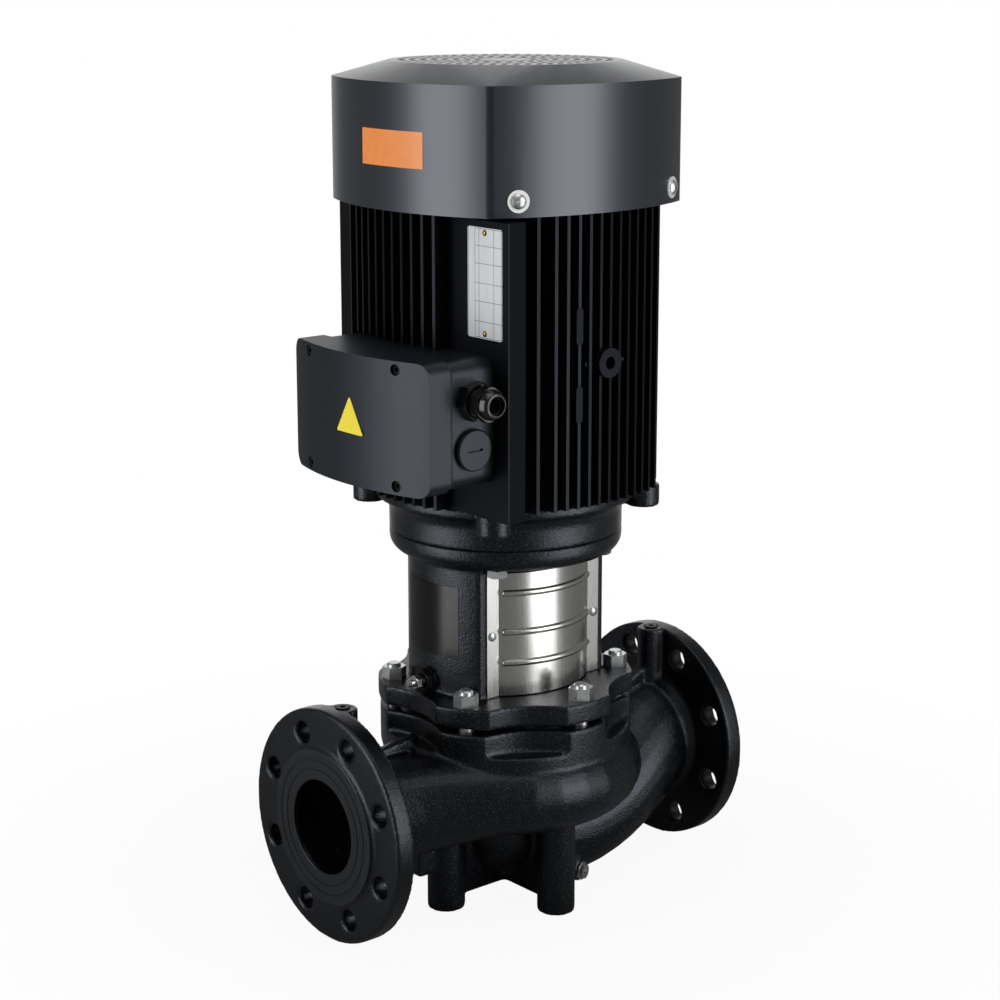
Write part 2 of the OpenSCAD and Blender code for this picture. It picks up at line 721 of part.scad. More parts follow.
module guard() {
    mid = window_flat + guard_bulge - guard_arc;
    difference() {
        union() {
            translate([0, 0, guard_z]) linear_extrude(guard_h) guard_plan();
            intersection() {
                for (z = bead_rows) translate([0, -mid, z])
                    rotate_extrude($fn = 192) translate([guard_arc + guard_t - 0.4, 0])
                        circle(r = bead_r, $fn = 24);
                translate([-guard_chord / 2 + 6, -guard_arc * 2, guard_z])
                    cube([guard_chord - 12, guard_arc * 2 - window_flat, guard_h]);
            }
        }
        translate([0, -mid, guard_z - 1]) cylinder(r = guard_arc, h = guard_h + 2, $fn = 192);
        for (x = [-1, 1]) translate([x * guard_screw_x, -window_flat + 1, guard_screw_z]) rotate([90, 0, 0])
            cylinder(r = 2.3, h = 8, $fn = 32);
    }
}

module front_guard() color(stainless) guard();
module rear_guard() color(stainless) rotate(180) guard();

module pan_screw(r, head, length) {
    translate([0, 0, -length]) cylinder(r = r, h = length + 0.1, $fn = 32);
    difference() {
        intersection() {
            cylinder(r = head, h = head * 0.62, $fn = 48);
            translate([0, 0, head * 0.62 - head * 1.5]) sphere(r = head * 1.5, $fn = 48);
        }
        for (a = [0, 90]) rotate(a) translate([-head * 0.55, -0.5, head * 0.25]) cube([head * 1.1, 1, head]);
    }
}

module guard_screws() color(zinc) for (a = [0, 180]) for (x = [-1, 1])
    rotate(a) translate([x * guard_screw_x, -window_flat - guard_t, guard_screw_z]) rotate([90, 0, 0])
        pan_screw(2, 4, 10);

module lantern_bolts() color(zinc) around(4, bolt_pcd / 2, 45) translate([0, 0, stool_z]) {
    rotate([180, 0, 0]) hex_head(16, 6.4);
    cylinder(r = bolt_d / 2, h = stool_t + 14, $fn = 48);
}

module drive_end_shield() color(paint) difference() {
    union() {
        translate([0, 0, motor_z]) cylinder(r = stool_r, h = shield_h, $fn = 192);
        translate([0, 0, motor_z - register_h]) cylinder(r = register_r, h = register_h + 1);
        rotate_extrude($fn = 192) polygon(concat([[60, flare_z - eps], [stool_r, flare_z - eps]],
            [for (a = [0:10:80]) [stool_r + 14 - 14 * cos(a), flare_z + 14 * sin(a)]],
            [[stool_r + 12, flare_z + 14], [stool_r + 12, frame_z], [60, frame_z]]));
        translate([0, 0, frame_z - 1]) cylinder(r = barrel_bore - fit, h = 7);
        corners() translate([0, 0, frame_z - lug_h]) cylinder(r = lug_r, h = lug_h, $fn = 48);
        for (a = [45:90:315]) rotate(a) translate([80, -10, frame_z - 9]) cube([lug_pcd / 2 - 80, 20, 9]);
    }
    translate([0, 0, motor_z + 34]) cylinder(r = barrel_bore - 9, h = 60);
    difference() {
        translate([0, 0, motor_z + 9]) cylinder(r = barrel_bore - 9, h = 30);
        translate([0, 0, motor_z]) cylinder(r = low_bearing_r + 9, h = 60);
    }
    translate([0, 0, low_bearing_z]) cylinder(r = low_bearing_r + fit, h = 60);
    translate([0, 0, motor_z - 10]) cylinder(r = low_bearing_in + 4, h = 60);
    around(4, bolt_pcd / 2, 45) translate([0, 0, motor_z - 1])
        cylinder(r = bolt_d / 2 + fit, h = 16, $fn = 48);
    corners() translate([0, 0, frame_z - lug_h - 1]) {
        cylinder(r = 3.3, h = lug_h + 2, $fn = 32);
        cylinder(r = 6, h = 9, $fn = 32);
    }
}

module socket_screw(r, head, head_h, length) {
    translate([0, 0, -length]) cylinder(r = r, h = length + 0.1, $fn = 32);
    difference() {
        cylinder(r = head, h = head_h, $fn = 32);
        translate([0, 0, head_h - 3]) hexagon(head * 0.95, 4);
    }
}

module shield_screws() color(zinc) corners() translate([0, 0, frame_z - lug_h + 8]) rotate([180, 0, 0])
    socket_screw(3, 5, 6, lug_h + 6);

module bearing_ring(r_out, r_in, h, pitch, ball) {
    difference() {
        tube(r_out, r_in, h);
        translate([0, 0, h / 2]) rotate_extrude() translate([pitch, 0]) circle(r = ball + 0.1, $fn = 32);
    }
}

module ball_set(pitch, ball, n, h) {
    translate([0, 0, h / 2]) {
        around(n, pitch) sphere(r = ball, $fn = 32);
        translate([0, 0, -1.2]) tube(pitch + 1.3, pitch - 1.3, 2.4);
    }
}

low_pitch = (low_bearing_r + low_bearing_in) / 2;
top_pitch = (top_bearing_r + top_bearing_in) / 2;

module lower_bearing_outer() color(steel) translate([0, 0, low_bearing_z])
    bearing_ring(low_bearing_r, low_bearing_r - race, low_bearing_h, low_pitch, low_ball);
module lower_bearing_inner() color(steel) translate([0, 0, low_bearing_z])
    bearing_ring(low_bearing_in + race, low_bearing_in, low_bearing_h, low_pitch, low_ball);
module lower_balls() color("#8f9295") translate([0, 0, low_bearing_z])
    ball_set(low_pitch, low_ball, low_balls, low_bearing_h);
module upper_bearing_outer() color(steel) translate([0, 0, top_bearing_z])
    bearing_ring(top_bearing_r, top_bearing_r - 5, top_bearing_h, top_pitch, top_ball);
module upper_bearing_inner() color(steel) translate([0, 0, top_bearing_z])
    bearing_ring(top_bearing_in + 5, top_bearing_in, top_bearing_h, top_pitch, top_ball);
module upper_balls() color("#8f9295") translate([0, 0, top_bearing_z])
    ball_set(top_pitch, top_ball, top_balls, top_bearing_h);

// Fins of one side in plan, between the barrel and the bulged outline
module side_fins(places) {
    intersection() {
        polygon([[0, 0], [160, -160], [160, 160]]);
        for (y = places) translate([barrel_r - 40, y - fin_t / 2]) square([100, fin_t]);
    }
}

module frame_plan() {
    difference() {
        union() {
            circle(r = barrel_r, $fn = 192);
            intersection() {
                bulged_square(frame_c, frame_bulge);
                union() {
                    for (a = [0, 180]) rotate(a) side_fins(box_fins);
                    for (a = [90, 270]) rotate(a) side_fins(face_fins);
                    corners() rotate(45) square([52, 9], center = true);
                }
            }
        }
        circle(r = barrel_bore + fit, $fn = 192);
    }
}

module lift_boss() {
    translate([lift_x, 0, lift_z]) rotate([90, 0, 0]) {
        cylinder(r = lift_r, h = lift_y, $fn = 48);
        translate([-lift_r - 9, -1.5, 0]) cube([2 * lift_r + 18, 3, frame_c + frame_bulge - 2]);
    }
    for (z = [-32, 32]) translate([-2 * fin_pitch, 0, lift_z + z]) rotate([90, 0, 0])
        linear_extrude(frame_c + frame_bulge - 1) {
            square([7, 24], center = true);
            for (e = [-12, 12]) translate([0, e]) circle(r = 3.5, $fn = 32);
        }
}

module stator_frame() color(paint) difference() {
    union() {
        difference() {
            translate([0, 0, frame_z]) linear_extrude(frame_h) frame_plan();
            translate([-pad_x - 40, -pad_y - 20, frame_z - 1]) cube([40, pad_y + 20 - pad_in, frame_h + 2]);
            translate([-pad_x - 40, -box_side - 1, lid_z - box_h / 2 - 1]) cube([40, box_w + 2, box_h + 2]);
            translate([-pad_x - 40, pad_far - 14, frame_z - 1]) cube([40, 40, frame_h + 2]);
        }
        translate([-pad_x, -pad_y, frame_z]) cube([18, pad_y - pad_in, pad_top - frame_z]);
        translate([-pad_x, pad_far - 14, frame_z]) cube([18, 14, pad_top - frame_z]);
        translate([-pad_x, -box_side + 6, lid_z - box_h / 2 + 4]) cube([40, box_w - 12, box_h - 8]);
        intersection() {
            union() {
                lift_boss();
                rotate(180) lift_boss();
            }
            translate([0, 0, frame_z]) tube(lift_y + 20, barrel_r - 4, frame_h);
        }
        corners() for (z = [frame_z, frame_top - 30]) translate([0, 0, z]) cylinder(r = 10, h = 30, $fn = 48);
        cover_screw_frame() translate([0, 0, -26])
            cylinder(r = cover_screw_drop - 0.1, h = 26 - cover_wall - 0.25, $fn = 48);
    }
    translate([0, 0, frame_z - 1]) cylinder(r = barrel_bore + fit, h = frame_h + 2);
    corners() {
        translate([0, 0, frame_z - 1]) cylinder(r = 3 + fit, h = 24, $fn = 32);
        translate([0, 0, frame_top - 24]) cylinder(r = 3 + fit, h = 25, $fn = 32);
    }
    cover_screw_frame() translate([0, 0, -18]) cylinder(r = 3 + fit, h = 18, $fn = 32);
    for (a = [0, 180]) rotate(a) translate([lift_x, -lift_y - 1, lift_z]) rotate([-90, 0, 0])
        cylinder(r = lift_hole_r, h = lift_deep + 1, $fn = 48);
    translate([-pad_x - 1, -box_y, lid_z]) rotate([0, 90, 0]) cylinder(r = 22, h = 60);
    for (z = [-1, 1]) translate([-pad_x - 1, -plate_y, plate_z + z * (plate_h / 2 - 4)]) rotate([0, 90, 0])
        cylinder(r = 1.5 + fit, h = 7, $fn = 24);
}

module stator_core() color("#55585c") translate([0, 0, core_z]) tube(barrel_bore, core_bore, core_h);

module windings() color("#a5542a") for (z = [core_z - coil_h, core_z + core_h]) translate([0, 0, z])
    rotate_extrude() translate([(barrel_bore + core_bore) / 2 - 1, coil_h / 2])
        square([barrel_bore - core_bore - 10, coil_h], center = true);

module rear_end_shield() color(paint) difference() {
    union() {
        translate([0, 0, frame_top]) cylinder(r = barrel_r, h = 8);
        translate([0, 0, frame_top - 6]) cylinder(r = barrel_bore - fit, h = 7);
        translate([0, 0, top_bearing_z - 4])
            cylinder(r = top_bearing_r + 8, h = frame_top - top_bearing_z + 16);
        corners() translate([0, 0, frame_top]) cylinder(r = 12, h = 8, $fn = 48);
        for (a = [45:90:315]) rotate(a) translate([75, -9, frame_top]) cube([lug_pcd / 2 - 75, 18, 8]);
    }
    difference() {
        translate([0, 0, frame_top - 7]) cylinder(r = barrel_bore - 8, h = 8);
        translate([0, 0, frame_top - 20]) cylinder(r = top_bearing_r + 8, h = 60);
    }
    translate([0, 0, top_bearing_z - 5]) cylinder(r = top_bearing_r + fit, h = top_bearing_h + 7);
    translate([0, 0, top_bearing_z]) cylinder(r = top_bearing_in + 2, h = 60);
    corners() translate([0, 0, frame_top - 1]) cylinder(r = 3.3, h = 12, $fn = 32);
}

module rear_shield_screws() color(zinc) corners() translate([0, 0, frame_top + 8])
    socket_screw(3, 5, 6, 26);

module wave_spring() color(steel) translate([0, 0, top_bearing_z + top_bearing_h])
    tube(top_bearing_r - 1, top_bearing_r - 6, 2);

// Centre and tangent line of the round that closes each corner of a bulged square
function round_at(c, s, r) = (sqrt(2 * pow(bulge_arc(c, s) - r, 2) - pow(bulge_arc(c, s) - c - s, 2))
    - (bulge_arc(c, s) - c - s)) / 2;
function round_cut(c, s, r) = let (q = round_at(c, s, r), off = bulge_arc(c, s) - c - s,
    k = bulge_arc(c, s) / (bulge_arc(c, s) - r)) ((q + off) * k - off + q * k) / sqrt(2);

module cover_outline(inset) {
    q = round_at(cover_c, cover_bulge, cover_round);
    cut = round_cut(cover_c, cover_bulge, cover_round);
    arc = bulge_arc(cover_c, cover_bulge);
    intersection() {
        intersection_for (a = [0, 90, 180, 270])
            rotate(a) translate([cover_mid - arc, 0]) circle(r = arc - inset, $fn = 192);
        rotate(45) square(2 * (cut - inset * 0.9), center = true);
    }
    for (x = [-q, q]) for (y = [-q, q]) translate([x, y]) circle(r = cover_round - inset, $fn = 64);
}

module shoulder(inset) {
    hull() {
        translate([0, 0, shoulder_z - 1]) linear_extrude(1) cover_outline(inset);
        translate([0, 0, grille_z - 1 - inset]) cylinder(r = grille_r - inset * 0.6, h = 1, $fn = 96);
    }
}

module cover_screw_frame() {
    for (a = [0, 180]) rotate(a) for (s = [-1, 1])
        translate([s * cover_screw_x, -cover_screw_y, cover_screw_z])
            rotate(s * cover_screw_angle) rotate([90, 0, 0]) children();
}

module fan_cover() color(paint) difference() {
    union() {
        translate([0, 0, cover_z]) linear_extrude(cover_side - 1) cover_outline(0);
        shoulder(0);
    }
    translate([0, 0, cover_z - 1]) linear_extrude(cover_side) cover_outline(cover_wall);
    shoulder(cover_wall);
    for (k = [0:grille_rings - 1]) {
        r = 24 + k * grille_pitch;
        n = floor(2 * PI * r / (grille_hole_d + 3.3));
        around(n, r, k * 7) translate([0, 0, grille_z - 20])
            cylinder(r = grille_hole_d / 2, h = 25, $fn = 16);
    }
    cover_screw_frame() translate([0, 0, -23]) cylinder(r = 3 + fit, h = 30, $fn = 32);
}

module cover_screws() color(zinc) cover_screw_frame() translate([0, 0, washer_t]) pan_screw(3, 6, 16);

module cover_washers() color(zinc) cover_screw_frame() tube(washer_r, 3 + fit, washer_t);

// Turns an outline drawn in the plane of the lid so that it grows away from the frame along -X
module on_lid(x) {
    translate([-x, -box_y, lid_z]) rotate([90, 0, -90]) children();
}

module terminal_box() color(plastic) difference() {
    on_lid(pad_x) linear_extrude(box_d - 1) rounded_rect(box_w, box_h, box_round);
    on_lid(pad_x + box_wall) linear_extrude(box_d)
        rounded_rect(box_w - 2 * box_wall, box_h - 2 * box_wall, box_round - box_wall);
    on_lid(pad_x - 1) cylinder(r = 20, h = 20);
    for (z = [gland_z, blank_z]) translate([-gland_x, -box_side - 1, z]) rotate([-90, 0, 0])
        cylinder(r = entry_r + fit, h = 12, $fn = 48);
}

module terminal_board() color("#3a2f28") on_lid(pad_x + box_wall) difference() {
    translate([0, 8, 0]) linear_extrude(10) square([70, 44], center = true);
    translate([0, 8, -1]) cylinder(r = 5, h = 12, $fn = 24);
}

module terminal_studs() color("#b08d3f") on_lid(pad_x + box_wall) for (i = [0:2]) for (j = [0, 1])
    translate([(i - 1) * 23, -4 + j * 24, 10]) {
        cylinder(r = 2.5, h = 16, $fn = 24);
        hexagon(8, 4);
    }

module lid_gasket() color(rubber) on_lid(seam_x - 1) linear_extrude(1) difference() {
    rounded_rect(box_w, box_h, box_round);
    rounded_rect(box_w - 2 * box_wall, box_h - 2 * box_wall, box_round - box_wall);
}

module lid_solid(less) {
    intersection() {
        on_lid(seam_x) linear_extrude(lid_d + lid_bow)
            rounded_rect(lid_w - 2 * less, lid_h - 2 * less, box_round - less);
        translate([-(lid_x + lid_bow - lid_arc), -box_y, lid_z - lid_h])
            cylinder(r = lid_arc - less, h = 2 * lid_h, $fn = 256);
    }
}

module lid_screw_places() {
    for (y = [-1, 1]) for (z = [-1, 1])
        translate([-lid_x - lid_bow + 12, -box_y + y * lid_screw_y, lid_z + z * lid_screw_z])
            rotate([0, -90, 0]) children();
}

module terminal_lid() color(plastic) difference() {
    union() {
        difference() {
            lid_solid(0);
            translate([0.5, 0, 0]) lid_solid(3);
        }
        intersection() {
            lid_solid(1);
            lid_screw_places() translate([0, 0, -40]) cylinder(r = 7, h = 50, $fn = 32);
        }
    }
    lid_screw_places() cylinder(r = 4.6, h = 20, $fn = 32);
    lid_screw_places() translate([0, 0, -40]) cylinder(r = 2.6, h = 45, $fn = 32);
}

module lid_screws() color(zinc) lid_screw_places() socket_screw(2.4, 4, 4, 14);

module entry_frame(z) {
    translate([-gland_x, -box_side, z]) rotate([90, 0, 0]) children();
}

module gland_body() color(plastic) entry_frame(gland_z) difference() {
    union() {
        translate([0, 0, -9]) cylinder(r = entry_r, h = 10, $fn = 48);
        rotate(10) hex_head(gland_af, gland_body_h - 4);
        cylinder(r = gland_af / 2 - 2.5, h = gland_body_h, $fn = 48);
    }
    translate([0, 0, -10]) cylinder(r = gland_hole_r + 2, h = 40, $fn = 48);
}

module gland_nut() color(plastic) entry_frame(gland_z) translate([0, 0, gland_body_h]) difference() {
    union() {
        rotate(25) intersection() {
            hexagon(gland_af - 2, 9);
            cylinder(r1 = gland_af, r2 = gland_af / 2 - 1, h = 9.5);
        }
        rotate_extrude($fn = 64) polygon(concat([[0, 0], [gland_af / 2 - 1.5, 0]],
            [for (a = [0:15:75]) [gland_hole_r + 1.5 + (gland_af / 2 - gland_hole_r - 3) * cos(a),
                8 + (gland_nut_h - 8) * sin(a)]], [[gland_hole_r + 1.5, gland_nut_h], [0, gland_nut_h]]));
    }
    translate([0, 0, -1]) cylinder(r = gland_hole_r + 2, h = gland_nut_h - 3, $fn = 48);
    cylinder(r = gland_hole_r + 1, h = 40, $fn = 48);
}

module gland_insert() color(rubber) entry_frame(gland_z) translate([0, 0, gland_body_h - 8])
    tube(gland_hole_r + 1.95, gland_hole_r, gland_nut_h + 3.8);

module blanking_plug() color(plastic) entry_frame(blank_z) difference() {
    union() {
        translate([0, 0, -8]) cylinder(r = entry_r, h = 9, $fn = 48);
        cylinder(r = blank_d / 2, h = 3.4);
        translate([0, 0, 3.4]) cylinder(r1 = blank_d / 2, r2 = blank_d / 2 - 1.2, h = 1.2);
    }
    translate([-7.5, -1.1, 2.6]) cube([15, 2.2, 4]);
    translate([0, 0, -9]) cylinder(r = entry_r - 2.5, h = 8, $fn = 48);
}

module nameplate() color("silver") translate([-pad_x - plate_t, -plate_y, plate_z]) rotate([90, 0, 90])
    linear_extrude(plate_t) difference() {
        rounded_rect(plate_w, plate_h, 2);
        for (z = [-1, 1]) translate([0, z * (plate_h / 2 - 4)]) circle(r = 1.6, $fn = 24);
    }

module nameplate_rivets() color("#b59b62") for (z = [-1, 1])
    translate([-pad_x - plate_t, -plate_y, plate_z + z * (plate_h / 2 - 4)]) rotate([0, -90, 0]) {
        translate([0, 0, -6]) cylinder(r = 1.5, h = 6.1, $fn = 24);
        intersection() {
            translate([0, 0, -1.6]) sphere(r = 3, $fn = 32);
            cylinder(r = 4, h = 3, $fn = 32);
        }
    }

// Rotating parts

module vane(z0, h) {
    for (i = [0:vanes - 1]) rotate(360 * i / vanes) intersection() {
        translate([-8, 44, z0]) tube(50, 47, h);
        translate([0, 0, z0]) tube(impeller_r, 30, h);
        translate([0, -100, z0]) cube([100, 100 + 60, h]);
    }
}

module impeller() color("#7b7d80") difference() {
    union() {
        translate([0, 0, impeller_z]) tube(impeller_r, eye_r - 4, shroud_t);
        translate([0, 0, chamber_low - floor_t + 1])
            tube(eye_r, eye_r - 4, impeller_z - chamber_low + floor_t);
        vane(impeller_z + shroud_t - 1, impeller_w + 2);
        translate([0, 0, impeller_z + shroud_t + impeller_w]) cylinder(r = impeller_r, h = shroud_t);
        translate([0, 0, impeller_z + shroud_t + 2])
            cylinder(r1 = hub_r - 4, r2 = hub_r, h = hub_top - impeller_z - shroud_t - 2);
    }
    translate([0, 0, impeller_z - 5]) cylinder(r = shaft_r + fit, h = 80);
}

module impeller_nut() color(zinc) translate([0, 0, impeller_z + shroud_t + 2 - 11]) difference() {
    union() {
        hexagon(24, 9);
        translate([0, 0, 9]) cylinder(r = 13, h = 2);
    }
    translate([0, 0, -1]) cylinder(r = shaft_r - 2, h = 14);
}

module pump_shaft() color(steel) union() {
    translate([0, 0, impeller_z + shroud_t + 2])
        cylinder(r = shaft_r, h = pump_shaft_top - impeller_z - shroud_t - 2);
    translate([0, 0, impeller_z + shroud_t - 12]) cylinder(r = shaft_r - 2 - fit, h = 16);
}

module seal_ring() color("#3f3f42") translate([0, 0, seat_z - ring_h]) difference() {
    union() {
        cylinder(r = seal_r, h = ring_h);
        translate([0, 0, -4]) cylinder(r = seal_r - 4, h = 5);
    }
    translate([0, 0, -5]) cylinder(r = shaft_r + fit, h = ring_h + 6);
}

spring_low = hub_top;
spring_top = seat_z - ring_h;
spring_turns = 4;
spring_r = seal_r - 2.2;
spring_wire = 1.2;
spring_steps = 16;
module seal_spring() color(steel) {
    n = spring_turns * spring_steps;
    rise = spring_top - spring_low - 2 * spring_wire;
    skin([for (k = [0:n]) let (a = 360 * k / spring_steps, z = spring_low + spring_wire + rise * k / n)
        ring([spring_r * cos(a), spring_r * sin(a), z], [cos(a), sin(a), 0], [-sin(a), cos(a), 0],
            spring_wire, spring_wire, 8)]);
}

module coupling_half() difference() {
    intersection() {
        translate([0, 0, coupling_z]) cylinder(r = coupling_r, h = coupling_h);
        translate([-coupling_r, -coupling_r, coupling_z])
            cube([2 * coupling_r, coupling_r - 0.5, coupling_h]);
    }
    translate([0, 0, coupling_z - 1]) cylinder(r = shaft_r + fit, h = coupling_h);
    translate([0, 0, motor_shaft_low - 1]) cylinder(r = motor_end_d / 2 + fit, h = coupling_h);
    for (x = [-1, 1]) for (z = screw_rows) translate([x * screw_x, 0, z]) rotate([90, 0, 0]) {
        translate([0, 0, -1]) cylinder(r = coupling_screw_d / 2 + 0.3, h = coupling_r + 2, $fn = 32);
        translate([0, 0, 14]) cylinder(r = coupling_screw_d * 0.8 + 0.4, h = coupling_r, $fn = 32);
    }
}

module coupling_front() color("#6c6e70") coupling_half();
module coupling_rear() color("#6c6e70") rotate(180) coupling_half();

module coupling_screws() color(zinc) for (x = [-1, 1]) for (z = screw_rows)
    translate([x * screw_x, -14, z]) rotate([90, 0, 0]) {
        socket_screw(coupling_screw_d / 2, coupling_screw_d * 0.8, 7, 28);
        translate([0, 0, -35]) hexagon(coupling_screw_d * 1.4, 7);
    }

module motor_shaft() color(steel) {
    translate([0, 0, motor_shaft_low]) cylinder(r = motor_end_d / 2, h = low_bearing_z - motor_shaft_low);
    translate([0, 0, coupling_z + coupling_h + 2])
        cylinder(r = low_bearing_in - 1, h = low_bearing_z - coupling_z - coupling_h - 2);
    translate([0, 0, low_bearing_z]) cylinder(r = low_bearing_in, h = low_bearing_h);
    translate([0, 0, low_bearing_z + low_bearing_h])
        cylinder(r = low_bearing_in + 3, h = top_bearing_z - 2 - low_bearing_z - low_bearing_h);
    translate([0, 0, top_bearing_z - 2]) cylinder(r = top_bearing_in + 2, h = 2);
    translate([0, 0, top_bearing_z]) cylinder(r = top_bearing_in, h = top_bearing_h);
    translate([0, 0, top_bearing_z + top_bearing_h - eps])
        cylinder(r = fan_shaft_r, h = fan_z + fan_h - 4 - top_bearing_z - top_bearing_h);
}

module rotor_core() color("#6b6e72") difference() {
    union() {
        translate([0, 0, core_z]) cylinder(r = rotor_r, h = core_h);
        translate([0, 0, core_z - 10]) tube(rotor_r - 3, rotor_r - 16, core_h + 20);
    }
    translate([0, 0, core_z - 20]) cylinder(r = low_bearing_in + 3 + fit, h = core_h + 40);
}

module fan() color("#2c2d30") difference() {
    union() {
        translate([0, 0, fan_z]) cylinder(r = fan_hub_r, h = fan_h - 10);
        translate([0, 0, fan_z]) cylinder(r1 = 60, r2 = 52, h = 4);
        intersection() {
            for (i = [0:fan_blades - 1]) rotate(360 * i / fan_blades)
                translate([fan_hub_r - 2, -1.5, fan_z]) cube([fan_d / 2 - fan_hub_r + 2, 3, fan_h]);
            translate([0, 0, fan_z]) cylinder(r = fan_d / 2, h = fan_h);
        }
    }
    translate([0, 0, fan_z - 1]) cylinder(r = fan_shaft_r + fit, h = fan_h + 2);
    translate([0, 0, fan_z + fan_h - 10]) cylinder(r = fan_hub_r + 4, h = 20);
}

module fan_clip() color(steel) translate([0, 0, fan_z + fan_h - 10]) difference() {
    tube(fan_shaft_r + 4, fan_shaft_r + fit, 1.2);
    translate([0, -2, -1]) cube([40, 4, 4]);
}

volute_casing();
wear_ring();
gauge_plugs();
drain_plug();
casing_studs();
stud_nuts();
casing_o_ring();
pump_head();
vent_body();
vent_screw();
seal_seat();
front_guard();
rear_guard();
guard_screws();
lantern_bolts();
drive_end_shield();
shield_screws();
lower_bearing_outer();
stator_frame();
stator_core();
windings();
rear_end_shield();
rear_shield_screws();
upper_bearing_outer();
wave_spring();
fan_cover();
cover_screws();
cover_washers();
terminal_box();
terminal_board();
terminal_studs();
lid_gasket();
terminal_lid();
lid_screws();
gland_body();
gland_nut();
gland_insert();
blanking_plug();
nameplate();
nameplate_rivets();
impeller();
impeller_nut();
pump_shaft();
seal_ring();
seal_spring();
coupling_front();
coupling_rear();
coupling_screws();
motor_shaft();
rotor_core();
lower_bearing_inner();
upper_bearing_inner();
fan();
fan_clip();
lower_balls();
upper_balls();
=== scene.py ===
import bpy
import math
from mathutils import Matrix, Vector


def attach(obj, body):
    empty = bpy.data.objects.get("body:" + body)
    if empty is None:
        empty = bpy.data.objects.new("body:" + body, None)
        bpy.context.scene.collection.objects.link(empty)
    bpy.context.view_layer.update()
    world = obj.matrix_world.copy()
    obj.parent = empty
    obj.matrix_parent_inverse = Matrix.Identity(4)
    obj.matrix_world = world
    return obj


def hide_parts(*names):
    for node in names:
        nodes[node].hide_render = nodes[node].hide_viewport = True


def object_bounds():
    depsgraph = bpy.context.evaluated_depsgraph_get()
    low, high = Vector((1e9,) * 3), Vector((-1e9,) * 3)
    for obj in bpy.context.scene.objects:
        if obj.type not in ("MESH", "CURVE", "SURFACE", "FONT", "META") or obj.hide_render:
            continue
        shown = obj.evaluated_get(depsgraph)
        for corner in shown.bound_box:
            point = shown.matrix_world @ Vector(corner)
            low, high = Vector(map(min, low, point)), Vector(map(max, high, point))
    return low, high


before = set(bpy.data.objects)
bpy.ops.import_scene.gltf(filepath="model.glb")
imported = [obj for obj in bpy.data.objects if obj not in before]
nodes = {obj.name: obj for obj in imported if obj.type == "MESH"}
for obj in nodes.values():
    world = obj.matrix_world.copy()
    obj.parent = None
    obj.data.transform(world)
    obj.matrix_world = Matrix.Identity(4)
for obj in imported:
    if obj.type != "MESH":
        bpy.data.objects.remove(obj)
cad_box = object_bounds()
scene = bpy.context.scene
MM = 0.001

# Camera, fitted to the photo: a little above the pump, looking at the corner
# between the terminal box side and the finned front.
turn = math.radians(-40.341)
tilt = math.radians(12.343)
aim = Vector((0, 0, 0.407))
camera_distance = 1.93636
away = Vector(
    (
        math.sin(turn) * math.cos(tilt),
        -math.cos(turn) * math.cos(tilt),
        math.sin(tilt),
    )
)
lens = bpy.data.cameras.new("camera")
lens.lens = 81.16
lens.sensor_width = 36
lens.shift_x = -0.0055
lens.shift_y = -0.0586
camera = bpy.data.objects.new("camera", lens)
camera.location = aim + away * camera_distance
camera.rotation_euler = (
    (aim - camera.location).to_track_quat("-Z", "Y").to_euler()
)
scene.collection.objects.link(camera)
scene.camera = camera
scene.view_settings.view_transform = "Standard"


def paint(hex_value):
    """An sRGB hex colour as the linear colour that a shader takes."""
    parts = [int(hex_value[i : i + 2], 16) / 255 for i in (1, 3, 5)]
    return [
        p / 12.92 if p <= 0.04045 else ((p + 0.055) / 1.055) ** 2.4 for p in parts
    ] + [1.0]


def add(tree, kind, inputs=(), **settings):
    """Adds a node; each input takes a value or another node's output."""
    made = tree.nodes.new(kind)
    for name, value in settings.items():
        setattr(made, name, value)
    for place, value in dict(inputs).items():
        if isinstance(value, bpy.types.NodeSocket):
            tree.links.new(value, made.inputs[place])
        else:
            made.inputs[place].default_value = value
    return made


def blank(name):
    """A new material, its cleared tree and its object coordinates."""
    made = bpy.data.materials.new(name)
    made.use_nodes = True
    tree = made.node_tree
    tree.nodes.clear()
    place = add(tree, "ShaderNodeTexCoord").outputs["Object"]
    return made, tree, place


def close(tree, inputs):
    """Ends a material with its surface shader."""
    surface = add(tree, "ShaderNodeBsdfPrincipled", inputs)
    add(tree, "ShaderNodeOutputMaterial", {"Surface": surface.outputs["BSDF"]})


def stripe(tree, along, places, half):
    """1 on thin lines at these places of a coordinate, in mm, 0 between them."""
    total = None
    for at in places:
        off = add(
            tree, "ShaderNodeMath", {0: along, 1: at * MM}, operation="SUBTRACT"
        )
        size = add(
            tree, "ShaderNodeMath", {0: off.outputs["Value"]}, operation="ABSOLUTE"
        )
        on = add(
            tree,
            "ShaderNodeMath",
            {0: size.outputs["Value"], 1: half * MM},
            operation="LESS_THAN",
        )
        if total is None:
            total = on.outputs["Value"]
        else:
            both = add(
                tree,
                "ShaderNodeMath",
                {0: total, 1: on.outputs["Value"]},
                operation="MAXIMUM",
            )
            total = both.outputs["Value"]
    return total


